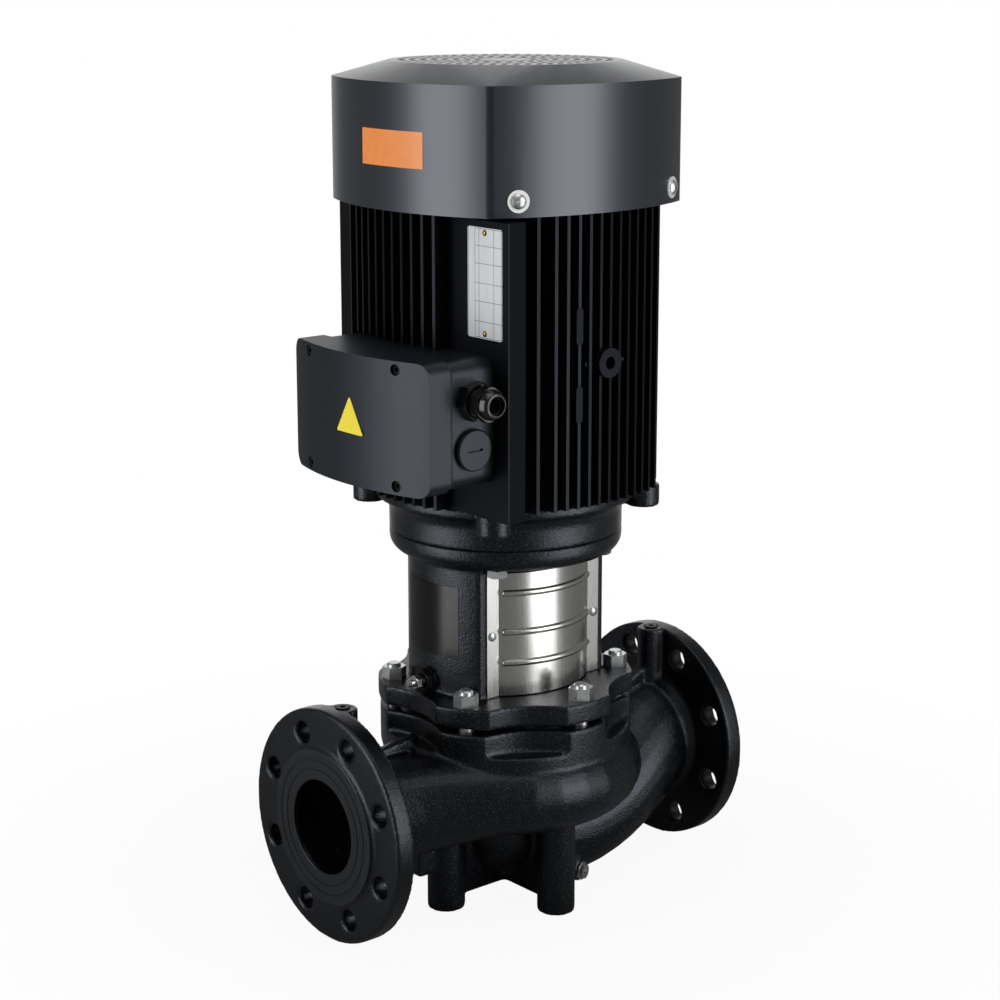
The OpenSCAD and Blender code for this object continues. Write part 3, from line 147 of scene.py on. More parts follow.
# Sand-cast grey iron under gloss black paint. The paint follows the sand grain, so
# a highlight breaks into small sparks. Fine light specks on the tops of the grain are
# painted glints, partly also paint thin there, with next to none on the machined
# flanges. Its edges are painted a little lighter: partly wear from rubbing, partly a
# painted edge highlight.
cast_skin_ends, machined_begins = 172 * MM, 178 * MM
cast_iron_paint, tree, place = blank("cast_iron_black_gloss_paint")
sand = add(
    tree,
    "ShaderNodeTexNoise",
    {"Vector": place, "Scale": 1 / (1.4 * MM), "Detail": 2.0, "Roughness": 0.6},
)
swell = add(
    tree,
    "ShaderNodeTexNoise",
    {"Vector": place, "Scale": 1 / (14 * MM), "Detail": 2.0},
)
sheen = add(
    tree,
    "ShaderNodeMapRange",
    {"Value": swell.outputs["Fac"], "To Min": 0.2, "To Max": 0.3},
)
low = add(
    tree,
    "ShaderNodeBump",
    {"Height": swell.outputs["Fac"], "Strength": 0.25, "Distance": 0.8 * MM},
)
grain = add(
    tree,
    "ShaderNodeBump",
    {
        "Height": sand.outputs["Fac"],
        "Strength": 0.8,
        "Distance": 0.5 * MM,
        "Normal": low.outputs["Normal"],
    },
)
across = add(
    tree,
    "ShaderNodeMath",
    {0: add(tree, "ShaderNodeSeparateXYZ", {"Vector": place}).outputs["X"]},
    operation="ABSOLUTE",
)
as_cast = add(
    tree,
    "ShaderNodeMapRange",
    {
        "Value": across.outputs["Value"],
        "From Min": cast_skin_ends,
        "From Max": machined_begins,
        "To Min": 1.0,
        "To Max": 0.08,
    },
)
# Painted glints: light specks on the tops of the sand grain, partly also paint thin there.
painted_glint_specks = add(
    tree,
    "ShaderNodeMapRange",
    {
        "Value": sand.outputs["Fac"],
        "From Min": 0.56,
        "From Max": 0.74,
        "To Max": as_cast.outputs["Result"],
    },
)
shade = add(
    tree,
    "ShaderNodeMix",
    {
        "Factor": painted_glint_specks.outputs["Result"],
        "A": paint("#060709"),
        "B": paint("#313438"),
    },
    data_type="RGBA",
)
edge = add(
    tree,
    "ShaderNodeMapRange",
    {
        "Value": add(tree, "ShaderNodeNewGeometry").outputs["Pointiness"],
        "From Min": 0.52,
        "From Max": 0.6,
    },
)
# Edges painted lighter: partly wear from rubbing, partly a painted edge highlight.
rubbed_and_highlit = add(
    tree,
    "ShaderNodeMath",
    {0: edge.outputs["Result"], 1: sand.outputs["Fac"]},
    operation="MULTIPLY",
)
worn_and_highlit = add(
    tree,
    "ShaderNodeMix",
    {
        "Factor": rubbed_and_highlit.outputs["Value"],
        "A": shade.outputs["Result"],
        "B": paint("#2e3033"),
    },
    data_type="RGBA",
)
close(
    tree,
    {
        "Base Color": worn_and_highlit.outputs["Result"],
        "Roughness": sheen.outputs["Result"],
        "IOR": 1.5,
        "Specular Tint": paint("#dce4f0"),
        "Normal": grain.outputs["Normal"],
    },
)

# Die-cast and extruded aluminium under satin black paint: deep black and even.
# One band across the frame reflects less, to bring the side of the nameplate pad
# nearer to the photo's black. It crosses the fins there too, and the real paint has
# no such band.
pad_side_middle, pad_side_half = -89.3 * MM, 9.2 * MM
motor_paint, tree, place = blank("aluminium_black_satin_paint")
swell = add(
    tree,
    "ShaderNodeTexNoise",
    {"Vector": place, "Scale": 1 / (3 * MM), "Detail": 2.0},
)
sheen = add(
    tree,
    "ShaderNodeMapRange",
    {"Value": swell.outputs["Fac"], "To Min": 0.28, "To Max": 0.38},
)
low = add(
    tree,
    "ShaderNodeBump",
    {"Height": swell.outputs["Fac"], "Strength": 0.15, "Distance": 0.2 * MM},
)
pad_side = add(
    tree,
    "ShaderNodeMath",
    {
        0: add(tree, "ShaderNodeSeparateXYZ", {"Vector": place}).outputs["X"],
        1: pad_side_middle,
        2: pad_side_half,
    },
    operation="COMPARE",
)
gleam = add(
    tree,
    "ShaderNodeMapRange",
    {"Value": pad_side.outputs["Value"], "To Min": 0.22, "To Max": 0.05},
)
close(
    tree,
    {
        "Base Color": paint("#0b0c0e"),
        "Roughness": sheen.outputs["Result"],
        "IOR": 1.45,
        "Specular IOR Level": gleam.outputs["Result"],
        "Specular Tint": paint("#cfdcf0"),
        "Normal": low.outputs["Normal"],
    },
)

# Pressed steel sheet under black powder coat: fine orange peel, a broad soft gleam.
powder_coat, tree, place = blank("steel_sheet_black_powder_coat")
peel = add(
    tree,
    "ShaderNodeTexNoise",
    {"Vector": place, "Scale": 1 / (1.2 * MM), "Detail": 1.0},
)
low = add(
    tree,
    "ShaderNodeBump",
    {"Height": peel.outputs["Fac"], "Strength": 0.12, "Distance": 0.1 * MM},
)
close(
    tree,
    {
        "Base Color": paint("#0b0f15"),
        "Roughness": 0.4,
        "IOR": 1.52,
        "Coat Weight": 1.0,
        "Coat Roughness": 0.3,
        "Specular Tint": paint("#c4d6ee"),
        "Normal": low.outputs["Normal"],
    },
)

# Moulded glass-filled polyamide, spark-eroded texture: matt with a soft gleam.
box_plastic, tree, place = blank("polyamide_black_moulded_satin")
spark = add(
    tree,
    "ShaderNodeTexNoise",
    {"Vector": place, "Scale": 1 / (0.9 * MM), "Detail": 2.0},
)
low = add(
    tree,
    "ShaderNodeBump",
    {"Height": spark.outputs["Fac"], "Strength": 0.2, "Distance": 0.1 * MM},
)
close(
    tree,
    {
        "Base Color": paint("#0e1216"),
        "Roughness": 0.42,
        "IOR": 1.53,
        "Specular Tint": paint("#d0dae8"),
        "Normal": low.outputs["Normal"],
    },
)

# Polished mould, unfilled polyamide: the same black but glossy.
gland_plastic, tree, place = blank("polyamide_black_moulded_gloss")
flow = add(
    tree,
    "ShaderNodeTexNoise",
    {"Vector": place, "Scale": 1 / (4 * MM), "Detail": 1.0},
)
sheen = add(
    tree,
    "ShaderNodeMapRange",
    {"Value": flow.outputs["Fac"], "To Min": 0.16, "To Max": 0.26},
)
close(
    tree,
    {
        "Base Color": paint("#0c0d0e"),
        "Roughness": sheen.outputs["Result"],
        "IOR": 1.53,
    },
)

# Cold-rolled stainless sheet: fine rolling lines along the height and soft bands
# of light.
stainless, tree, place = blank("stainless_sheet_bright_rolled")
along = add(
    tree,
    "ShaderNodeMapping",
    {"Vector": place, "Scale": (1 / (0.8 * MM), 1 / (0.8 * MM), 1 / (60 * MM))},
)
lines = add(
    tree,
    "ShaderNodeTexNoise",
    {"Vector": along.outputs["Vector"], "Scale": 1.0, "Detail": 3.0},
)
sheen = add(
    tree,
    "ShaderNodeMapRange",
    {"Value": lines.outputs["Fac"], "To Min": 0.22, "To Max": 0.3},
)
low = add(
    tree,
    "ShaderNodeBump",
    {"Height": lines.outputs["Fac"], "Strength": 0.03, "Distance": 0.1 * MM},
)
close(
    tree,
    {
        "Base Color": paint("#cbcbc7"),
        "Metallic": 1.0,
        "Roughness": sheen.outputs["Result"],
        "Normal": low.outputs["Normal"],
    },
)

# Zinc plate on cold-headed steel: bright and neutral, with soft blotches.
zinc, tree, place = blank("steel_zinc_plated")
blotch = add(
    tree,
    "ShaderNodeTexNoise",
    {"Vector": place, "Scale": 1 / (3.5 * MM), "Detail": 4.0},
)
sheen = add(
    tree,
    "ShaderNodeMapRange",
    {"Value": blotch.outputs["Fac"], "To Min": 0.26, "To Max": 0.4},
)
shade = add(
    tree,
    "ShaderNodeMix",
    {
        "Factor": blotch.outputs["Fac"],
        "A": paint("#d2d4d5"),
        "B": paint("#e8eaeb"),
    },
    data_type="RGBA",
)
low = add(
    tree,
    "ShaderNodeBump",
    {"Height": blotch.outputs["Fac"], "Strength": 0.08, "Distance": 0.2 * MM},
)
close(
    tree,
    {
        "Base Color": shade.outputs["Result"],
        "Metallic": 1.0,
        "Roughness": sheen.outputs["Result"],
        "Normal": low.outputs["Normal"],
    },
)

# Hot-dip zinc on forged bolts: dull grey, with no mirror in it.
dull_zinc, tree, place = blank("steel_zinc_hot_dipped")
blotch = add(
    tree,
    "ShaderNodeTexNoise",
    {"Vector": place, "Scale": 1 / (2.5 * MM), "Detail": 3.0},
)
shade = add(
    tree,
    "ShaderNodeMix",
    {
        "Factor": blotch.outputs["Fac"],
        "A": paint("#5f6163"),
        "B": paint("#7c7e80"),
    },
    data_type="RGBA",
)
low = add(
    tree,
    "ShaderNodeBump",
    {"Height": blotch.outputs["Fac"], "Strength": 0.15, "Distance": 0.2 * MM},
)
close(
    tree,
    {
        "Base Color": shade.outputs["Result"],
        "Metallic": 1.0,
        "Roughness": 0.5,
        "Normal": low.outputs["Normal"],
    },
)

# Turned steel: rings of the tool round the shaft, left bare and oiled.
turned_steel, tree, place = blank("steel_turned_bare")
along = add(
    tree,
    "ShaderNodeMapping",
    {"Vector": place, "Scale": (1 / (40 * MM), 1 / (40 * MM), 1 / (0.6 * MM))},
)
lines = add(
    tree,
    "ShaderNodeTexNoise",
    {"Vector": along.outputs["Vector"], "Scale": 1.0, "Detail": 2.0},
)
sheen = add(
    tree,
    "ShaderNodeMapRange",
    {"Value": lines.outputs["Fac"], "To Min": 0.22, "To Max": 0.4},
)
close(
    tree,
    {
        "Base Color": paint("#a9a9a7"),
        "Metallic": 1.0,
        "Roughness": sheen.outputs["Result"],
    },
)

# Stacked electrical sheet: thin grey lines, dark and pale in turn, each half a
# millimetre high like one sheet.
sheet_pair = 1.0 * MM
lamination, tree, place = blank("electrical_steel_stack")
split = add(tree, "ShaderNodeSeparateXYZ", {"Vector": place})
stack = add(
    tree,
    "ShaderNodeMath",
    {0: split.outputs["Z"], 1: 2 * math.pi / sheet_pair},
    operation="MULTIPLY",
)
wave = add(tree, "ShaderNodeMath", {0: stack.outputs["Value"]}, operation="SINE")
shade = add(
    tree,
    "ShaderNodeMix",
    {"Factor": wave.outputs["Value"], "A": paint("#3d3f42"), "B": paint("#6b6d70")},
    data_type="RGBA",
)
close(
    tree,
    {"Base Color": shade.outputs["Result"], "Metallic": 0.8, "Roughness": 0.5},
)

# Etched aluminium plate: a pale silver field, slightly brushed along its length,
# with the thin grey rules of an empty printed table. The tuples are in mm.
column_places = (-73.4, -81.5, -86.5, -104.5, -113.6)
row_places = (520.4, 533, 549, 563.5, 579, 593, 606.6)
rows_end = -81.5 * MM
plate, tree, place = blank("aluminium_plate_silver")
along = add(
    tree,
    "ShaderNodeMapping",
    {"Vector": place, "Scale": (1 / (1 * MM), 1 / (1 * MM), 1 / (30 * MM))},
)
lines = add(
    tree,
    "ShaderNodeTexNoise",
    {"Vector": along.outputs["Vector"], "Scale": 1.0, "Detail": 2.0},
)
shade = add(
    tree,
    "ShaderNodeMix",
    {
        "Factor": lines.outputs["Fac"],
        "A": paint("#d3d5d8"),
        "B": paint("#eceef0"),
    },
    data_type="RGBA",
)
split = add(tree, "ShaderNodeSeparateXYZ", {"Vector": place})
columns = stripe(tree, split.outputs["Y"], column_places, 0.25)
rows = stripe(tree, split.outputs["Z"], row_places, 0.22)
inside = add(
    tree,
    "ShaderNodeMath",
    {0: split.outputs["Y"], 1: rows_end},
    operation="LESS_THAN",
)
crossings = add(
    tree, "ShaderNodeMath", {0: rows, 1: inside.outputs["Value"]}, operation="MULTIPLY"
)
printed = add(
    tree,
    "ShaderNodeMath",
    {0: columns, 1: crossings.outputs["Value"]},
    operation="MAXIMUM",
)
ruled = add(
    tree,
    "ShaderNodeMix",
    {
        "Factor": printed.outputs["Value"],
        "A": shade.outputs["Result"],
        "B": paint("#6f7275"),
    },
    data_type="RGBA",
)
close(
    tree,
    {"Base Color": ruled.outputs["Result"], "Metallic": 0.2, "Roughness": 0.38},
)

# Free-cutting brass, headed and tumbled: warm, dulled a little by the air.
brass, tree, place = blank("brass_headed")
blotch = add(
    tree,
    "ShaderNodeTexNoise",
    {"Vector": place, "Scale": 1 / (1.5 * MM), "Detail": 2.0},
)
shade = add(
    tree,
    "ShaderNodeMix",
    {
        "Factor": blotch.outputs["Fac"],
        "A": paint("#8a6a3a"),
        "B": paint("#c29a5c"),
    },
    data_type="RGBA",
)
close(
    tree,
    {"Base Color": shade.outputs["Result"], "Metallic": 1.0, "Roughness": 0.35},
)

# Moulded nitrile rubber: matt black with a faint bloom.
rubber, tree, place = blank("nitrile_rubber_moulded")
bloom = add(
    tree,
    "ShaderNodeTexNoise",
    {"Vector": place, "Scale": 1 / (5 * MM), "Detail": 3.0},
)
shade = add(
    tree,
    "ShaderNodeMix",
    {
        "Factor": bloom.outputs["Fac"],
        "A": paint("#0d0d0d"),
        "B": paint("#1c1c1b"),
    },
    data_type="RGBA",
)
close(
    tree,
    {"Base Color": shade.outputs["Result"], "Roughness": 0.7, "IOR": 1.5},
)

# Enamelled copper wire, varnished: red-brown strands under a clear coat.
winding, tree, place = blank("copper_wire_varnished")
strand = add(
    tree,
    "ShaderNodeTexVoronoi",
    {"Vector": place, "Scale": 1 / (1.6 * MM)},
)
shade = add(
    tree,
    "ShaderNodeMix",
    {
        "Factor": strand.outputs["Distance"],
        "A": paint("#b0602c"),
        "B": paint("#5b2a12"),
    },
    data_type="RGBA",
)
low = add(
    tree,
    "ShaderNodeBump",
    {"Height": strand.outputs["Distance"], "Strength": 0.6, "Distance": 0.4 * MM},
)
close(
    tree,
    {
        "Base Color": shade.outputs["Result"],
        "Metallic": 0.7,
        "Roughness": 0.35,
        "Normal": low.outputs["Normal"],
    },
)

# Pressed board of glass and resin: dull ochre with a fine weave.
board, tree, place = blank("glass_resin_board_pressed")
weave = add(
    tree,
    "ShaderNodeTexChecker",
    {
        "Vector": place,
        "Scale": 1 / (1.4 * MM),
        "Color1": paint("#8c7646"),
        "Color2": paint("#7d683b"),
    },
)
close(
    tree,
    {"Base Color": weave.outputs["Color"], "Roughness": 0.5, "IOR": 1.55},
)

# Sintered alumina, lapped: off-white and smooth.
ceramic, tree, place = blank("alumina_lapped")
cloud = add(
    tree,
    "ShaderNodeTexNoise",
    {"Vector": place, "Scale": 1 / (2 * MM), "Detail": 2.0},
)
shade = add(
    tree,
    "ShaderNodeMix",
    {
        "Factor": cloud.outputs["Fac"],
        "A": paint("#d9d3c4"),
        "B": paint("#e8e4da"),
    },
    data_type="RGBA",
)
close(
    tree,
    {"Base Color": shade.outputs["Result"], "Roughness": 0.2, "IOR": 1.76},
)

# Resin-bound carbon, lapped: soft dark grey.
carbon, tree, place = blank("carbon_lapped")
cloud = add(
    tree,
    "ShaderNodeTexNoise",
    {"Vector": place, "Scale": 1 / (1 * MM), "Detail": 2.0},
)
shade = add(
    tree,
    "ShaderNodeMix",
    {
        "Factor": cloud.outputs["Fac"],
        "A": paint("#26272a"),
        "B": paint("#38393c"),
    },
    data_type="RGBA",
)
close(
    tree,
    {"Base Color": shade.outputs["Result"], "Roughness": 0.3, "IOR": 1.8},
)

# Printed polyester film, plain orange: a slight gloss.
orange_film, tree, place = blank("polyester_film_orange")
cloud = add(
    tree,
    "ShaderNodeTexNoise",
    {"Vector": place, "Scale": 1 / (9 * MM), "Detail": 1.0},
)
shade = add(
    tree,
    "ShaderNodeMix",
    {
        "Factor": cloud.outputs["Fac"],
        "A": paint("#ef8a42"),
        "B": paint("#f59b55"),
    },
    data_type="RGBA",
)
close(
    tree,
    {"Base Color": shade.outputs["Result"], "Roughness": 0.35, "IOR": 1.5},
)

# The same film in yellow.
yellow_film, tree, place = blank("polyester_film_yellow")
cloud = add(
    tree,
    "ShaderNodeTexNoise",
    {"Vector": place, "Scale": 1 / (9 * MM), "Detail": 1.0},
)
shade = add(
    tree,
    "ShaderNodeMix",
    {
        "Factor": cloud.outputs["Fac"],
        "A": paint("#f2dc3a"),
        "B": paint("#f7e551"),
    },
    data_type="RGBA",
)
close(
    tree,
    {"Base Color": shade.outputs["Result"], "Roughness": 0.35, "IOR": 1.5},
)

# The same film in black: about as glossy as the paint under it, but without grain.
black_film, tree, place = blank("polyester_film_black")
cloud = add(
    tree,
    "ShaderNodeTexNoise",
    {"Vector": place, "Scale": 1 / (6 * MM), "Detail": 1.0},
)
sheen = add(
    tree,
    "ShaderNodeMapRange",
    {"Value": cloud.outputs["Fac"], "To Min": 0.2, "To Max": 0.28},
)
close(
    tree,
    {"Base Color": paint("#060708"), "Roughness": sheen.outputs["Result"], "IOR": 1.4},
)

# Heat-treated steel screws, black oxide: near black with a dull gleam.
blackened, tree, place = blank("steel_black_oxide")
cloud = add(
    tree,
    "ShaderNodeTexNoise",
    {"Vector": place, "Scale": 1 / (1 * MM), "Detail": 2.0},
)
shade = add(
    tree,
    "ShaderNodeMix",
    {
        "Factor": cloud.outputs["Fac"],
        "A": paint("#1a1b1c"),
        "B": paint("#2e2f30"),
    },
    data_type="RGBA",
)
close(
    tree,
    {"Base Color": shade.outputs["Result"], "Metallic": 0.9, "Roughness": 0.4},
)

# Zinc-plated washers, matt from tumbling: flat and pale.
pale_zinc, tree, place = blank("steel_zinc_tumbled")
cloud = add(
    tree,
    "ShaderNodeTexNoise",
    {"Vector": place, "Scale": 1 / (2 * MM), "Detail": 2.0},
)
shade = add(
    tree,
    "ShaderNodeMix",
    {
        "Factor": cloud.outputs["Fac"],
        "A": paint("#d6d7d6"),
        "B": paint("#e9e9e7"),
    },
    data_type="RGBA",
)
close(
    tree,
    {"Base Color": shade.outputs["Result"], "Metallic": 0.55, "Roughness": 0.5},
)

finishes = {
    cast_iron_paint: "volute_casing pump_head drive_end_shield",
    motor_paint: "stator_frame rear_end_shield",
    powder_coat: "fan_cover",
    box_plastic: "terminal_box terminal_lid fan blanking_plug",
    gland_plastic: "gland_body gland_nut",
    stainless: "front_guard rear_guard impeller seal_spring vent_screw wear_ring",
    pale_zinc: "cover_washers",
    blackened: "lid_screws gauge_plugs vent_body",
    zinc: "casing_studs stud_nuts drain_plug guard_screws"
    " shield_screws rear_shield_screws cover_screws coupling_screws"
    " terminal_studs",
    dull_zinc: "lantern_bolts",
    turned_steel: "pump_shaft motor_shaft coupling_front coupling_rear impeller_nut"
    " lower_bearing_inner lower_bearing_outer upper_bearing_inner"
    " upper_bearing_outer lower_balls upper_balls wave_spring fan_clip",
    lamination: "stator_core rotor_core",
    plate: "nameplate",
    brass: "nameplate_rivets",
    rubber: "casing_o_ring lid_gasket gland_insert",
    winding: "windings",
    board: "terminal_board",
    ceramic: "seal_seat",
    carbon: "seal_ring",
}
for finish, names in finishes.items():
    for name in names.split():
        skin = nodes[name].data
        skin.materials.clear()
        skin.materials.append(finish)


def pick(piece):
    """Leaves only this piece selected and active."""
    bpy.ops.object.select_all(action="DESELECT")
    piece.select_set(True)
    bpy.context.view_layer.objects.active = piece


def modify(piece, kind, **settings):
    """Adds a modifier with its settings and applies it."""
    pick(piece)
    made = piece.modifiers.new(kind.lower(), kind)
    for name, value in settings.items():
        setattr(made, name, value)
    bpy.ops.object.modifier_apply(modifier=made.name)


# A CAD mesh's corners nearer than this are one, faces flatter than this are one,
# edges sharper than this are rounded, and bends softer than this are shaded smooth.
JOIN_WITHIN = 2e-6
FLAT_UNDER = math.radians(0.5)
EDGE_OVER = math.radians(35)
SMOOTH_UNDER = math.radians(50)


def joined_copy(source, name, finish):
    """A new piece that starts as a CAD node's mesh with its triangles joined."""
    piece = bpy.data.objects.new(name, nodes[source].data.copy())
    scene.collection.objects.link(piece)
    pick(piece)
    bpy.ops.mesh.customdata_custom_splitnormals_clear()
    bpy.ops.object.mode_set(mode="EDIT")
    bpy.ops.mesh.select_all(action="SELECT")
    bpy.ops.mesh.remove_doubles(threshold=JOIN_WITHIN)
    bpy.ops.object.mode_set(mode="OBJECT")
    piece.data.materials.clear()
    piece.data.materials.append(finish)
    return piece


def casting(source, name, finish, grain, rounds, share):
    """A node's form as a casting: one closed skin with rounded edges."""
    piece = joined_copy(source, name, finish)
    modify(piece, "REMESH", mode="VOXEL", voxel_size=grain, use_smooth_shade=True)
    modify(piece, "SMOOTH", factor=0.5, iterations=rounds)
    modify(piece, "DECIMATE", ratio=share)
    pick(piece)
    bpy.ops.object.shade_smooth()
    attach(piece, "pump_frame")
    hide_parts(source)


def softened(source, name, finish, width, steps, body="pump_frame"):
    """A node's form with its sharp edges rounded over a given width."""
    piece = joined_copy(source, name, finish)
    pick(piece)
    bpy.ops.object.mode_set(mode="EDIT")
    bpy.ops.mesh.select_all(action="SELECT")
    bpy.ops.mesh.dissolve_limited(angle_limit=FLAT_UNDER)
    bpy.ops.object.mode_set(mode="OBJECT")
    modify(
        piece,
        "BEVEL",
        width=width,
        segments=steps,
        limit_method="ANGLE",
        angle_limit=EDGE_OVER,
    )
    pick(piece)
    bpy.ops.object.shade_smooth_by_angle(angle=SMOOTH_UNDER)
    modify(piece, "TRIANGULATE", keep_custom_normals=False)
    modify(piece, "WEIGHTED_NORMAL", mode="FACE_AREA", keep_sharp=True)
    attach(piece, body)
    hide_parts(source)


softened("stator_frame", "frame_finned", motor_paint, 0.6 * MM, 2)
softened("fan_cover", "cover_pressed", powder_coat, 0.7 * MM, 2)
softened("terminal_lid", "lid_moulded", box_plastic, 1.6 * MM, 3)
softened("terminal_box", "box_moulded", box_plastic, 0.5 * MM, 2)
softened("front_guard", "guard_front", stainless, 0.3 * MM, 2)
softened("rear_guard", "guard_rear", stainless, 0.3 * MM, 2)
softened("stud_nuts", "nuts_plated", zinc, 0.5 * MM, 1)
for source, name, grain, rounds, share in (
    ("volute_casing", "casing_casting", 1.7 * MM, 6, 0.38),
    ("pump_head", "head_casting", 1.5 * MM, 5, 0.6),
    ("drive_end_shield", "shield_casting", 1.5 * MM, 4, 0.6),
):
    casting(
        source, name, cast_iron_paint, grain, rounds, share
    )


def made_by(finish, name, body="pump_frame"):
    """Ends the piece in hand: it gets its name, its material and its body."""
    piece = bpy.context.object
    bpy.ops.object.mode_set(mode="OBJECT")
    pick(piece)
    bpy.ops.object.transform_apply(location=True, rotation=True, scale=True)
    piece.name = name
    piece.data.materials.clear()
    piece.data.materials.append(finish)
    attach(piece, body)
    return piece


def bent_sheet(thick, high, at, start, sweep, middle):
    """A sheet bent round the upright axis through middle, from start by sweep."""
    bpy.ops.object.select_all(action="DESELECT")
    bpy.ops.mesh.primitive_plane_add(size=1, location=(0, 0, 0))
    bpy.ops.object.mode_set(mode="EDIT")
    bpy.ops.transform.resize(value=(thick, high, 1), center_override=(0, 0, 0))
    bpy.ops.transform.rotate(
        value=math.radians(90), orient_axis="X", center_override=(0, 0, 0)
    )
    bpy.ops.transform.translate(value=at)
    bpy.ops.transform.rotate(value=start, orient_axis="Z", center_override=middle)
    bpy.ops.mesh.spin(steps=24, angle=sweep, center=middle, axis=(0, 0, 1))
    bpy.ops.mesh.select_all(action="SELECT")
    bpy.ops.mesh.normals_make_consistent(inside=False)


# Blank orange strip that follows the bulged side of the fan cover. That side is an
# arc of this half chord and bulge, in mm, and the strip lies a little proud of it.
half_chord, bulge = 103.5, 26
cover_arc, cover_mid = (half_chord**2 + bulge**2) / (2 * bulge) * MM, 129.5 * MM
first_y, last_y, proud = 27.5 * MM, -46.4 * MM, 0.15 * MM
start = math.asin(first_y / cover_arc)
sweep = start - math.asin(last_y / cover_arc)
bent_sheet(
    0.4 * MM,
    29 * MM,
    (-cover_mid - proud, 0, 665.5 * MM),
    start,
    -sweep,
    (cover_arc - cover_mid, 0, 0),
)
made_by(orange_film, "strip_orange")

# Blank black plate round the discharge side of the lantern.
lantern_radius, plate_height = 85.1 * MM, 266.5 * MM
bent_sheet(
    0.5 * MM,
    62 * MM,
    (-lantern_radius, 0, plate_height),
    math.radians(24),
    math.radians(-46),
    (0, 0, 0),
)
made_by(black_film, "plate_lantern")

# Blank yellow triangle on the terminal box lid.
triangle_place = (-182.55 * MM, -23.5 * MM, 453.5 * MM)
bpy.ops.object.select_all(action="DESELECT")
bpy.ops.mesh.primitive_cylinder_add(
    vertices=3, radius=20 * MM, depth=0.5 * MM, location=(0, 0, 0)
)
bpy.ops.object.mode_set(mode="EDIT")
bpy.ops.mesh.select_all(action="SELECT")
bpy.ops.transform.rotate(
    value=math.radians(90), orient_axis="Z", center_override=(0, 0, 0)
)
bpy.ops.transform.rotate(
    value=math.radians(90), orient_axis="Y", center_override=(0, 0, 0)
)
bpy.ops.transform.translate(value=triangle_place)
triangle = made_by(yellow_film, "triangle_yellow")
modify(
    triangle,
    "BEVEL",
    width=2.2 * MM,
    segments=4,
    limit_method="ANGLE",
    angle_limit=math.radians(100),
)


def lathe(points):
    """Rings round Z, each a radius and a height in mm, extruded in turn."""
    bpy.ops.object.select_all(action="DESELECT")
    radius, height = points[0]
    bpy.ops.mesh.primitive_circle_add(
        vertices=96, radius=radius * MM, location=(0, 0, height * MM)
    )
    bpy.ops.object.mode_set(mode="EDIT")
    bpy.ops.mesh.select_all(action="SELECT")
    for wide, high in points[1:]:
        bpy.ops.mesh.extrude_edges_move()
        bpy.ops.transform.resize(
            value=(wide / radius, wide / radius, 1), center_override=(0, 0, 0)
        )
        bpy.ops.transform.translate(value=(0, 0, (high - height) * MM))
        radius, height = wide, high
    bpy.ops.mesh.select_all(action="SELECT")


# Turned sealing faces of the two flanges, with their two grooves.
port_height = 107 * MM
face_rings = (
    [(40.2, 198), (40.2, 199.7), (40.8, 200.25)]
    + [(48.8, 200.25), (49.0, 199.5), (50.0, 199.5), (50.2, 200.25)]
    + [(56.8, 200.25), (57.0, 199.5), (58.0, 199.5), (58.2, 200.25)]
    + [(65.4, 200.25), (66.2, 199.6), (66.2, 196.8)]
)
for side, name in ((90, "face_suction"), (-90, "face_discharge")):
    lathe(face_rings)
    bpy.ops.transform.rotate(
        value=math.radians(side), orient_axis="Y", center_override=(0, 0, 0)
    )
    bpy.ops.transform.translate(value=(0, 0, port_height))
    bpy.ops.mesh.normals_make_consistent(inside=False)
    made_by(cast_iron_paint, name)
    bpy.ops.object.shade_smooth_by_angle(angle=math.radians(25))

# Pressed beads of the guards, modelled once and copied to each row and side.
# Measures are in mm: the radius of the guard's arc and how far its centre is off the
# shaft, half a bead's width and how far its middle stands out, and the rows' heights.
guard_arc, arc_centre = 78.28, 11.28
bead_half, bead_out = 47.5, 1.3
bead_rows = (291.9, 257.9, 230.9)
reach = math.degrees(math.asin(bead_half / guard_arc))
bpy.ops.object.select_all(action="DESELECT")
bpy.ops.mesh.primitive_circle_add(
    vertices=20, radius=3.1 * MM, fill_type="NGON", location=(0, 0, 0)
)
bpy.ops.object.mode_set(mode="EDIT")
bpy.ops.mesh.select_all(action="SELECT")
bpy.ops.transform.rotate(
    value=math.radians(90), orient_axis="Y", center_override=(0, 0, 0)
)
bpy.ops.transform.translate(value=(0, -(guard_arc + bead_out) * MM, 0))
bpy.ops.transform.rotate(
    value=math.radians(reach), orient_axis="Z", center_override=(0, 0, 0)
)
bpy.ops.mesh.spin(
    steps=40, angle=math.radians(-2 * reach), center=(0, 0, 0), axis=(0, 0, 1)
)
bpy.ops.mesh.select_all(action="SELECT")
bpy.ops.mesh.normals_make_consistent(inside=False)
bead = made_by(stainless, "bead_front_1")
modify(
    bead,
    "BEVEL",
    width=2.2 * MM,
    segments=4,
    limit_method="ANGLE",
    angle_limit=math.radians(60),
)
for side, label in ((0, "front"), (180, "rear")):
    for row, height in enumerate(bead_rows):
        copy = bpy.data.objects.new(f"bead_{label}_{row + 1}", bead.data.copy())
        scene.collection.objects.link(copy)
        pick(copy)
        bpy.ops.object.mode_set(mode="EDIT")
        bpy.ops.mesh.select_all(action="SELECT")
        bpy.ops.transform.translate(value=(0, arc_centre * MM, height * MM))
        bpy.ops.transform.rotate(
            value=math.radians(side), orient_axis="Z", center_override=(0, 0, 0)
        )
        bpy.ops.object.mode_set(mode="OBJECT")
        bpy.ops.object.shade_smooth_by_angle(angle=SMOOTH_UNDER)
        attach(copy, "pump_frame")
bpy.data.objects.remove(bead)
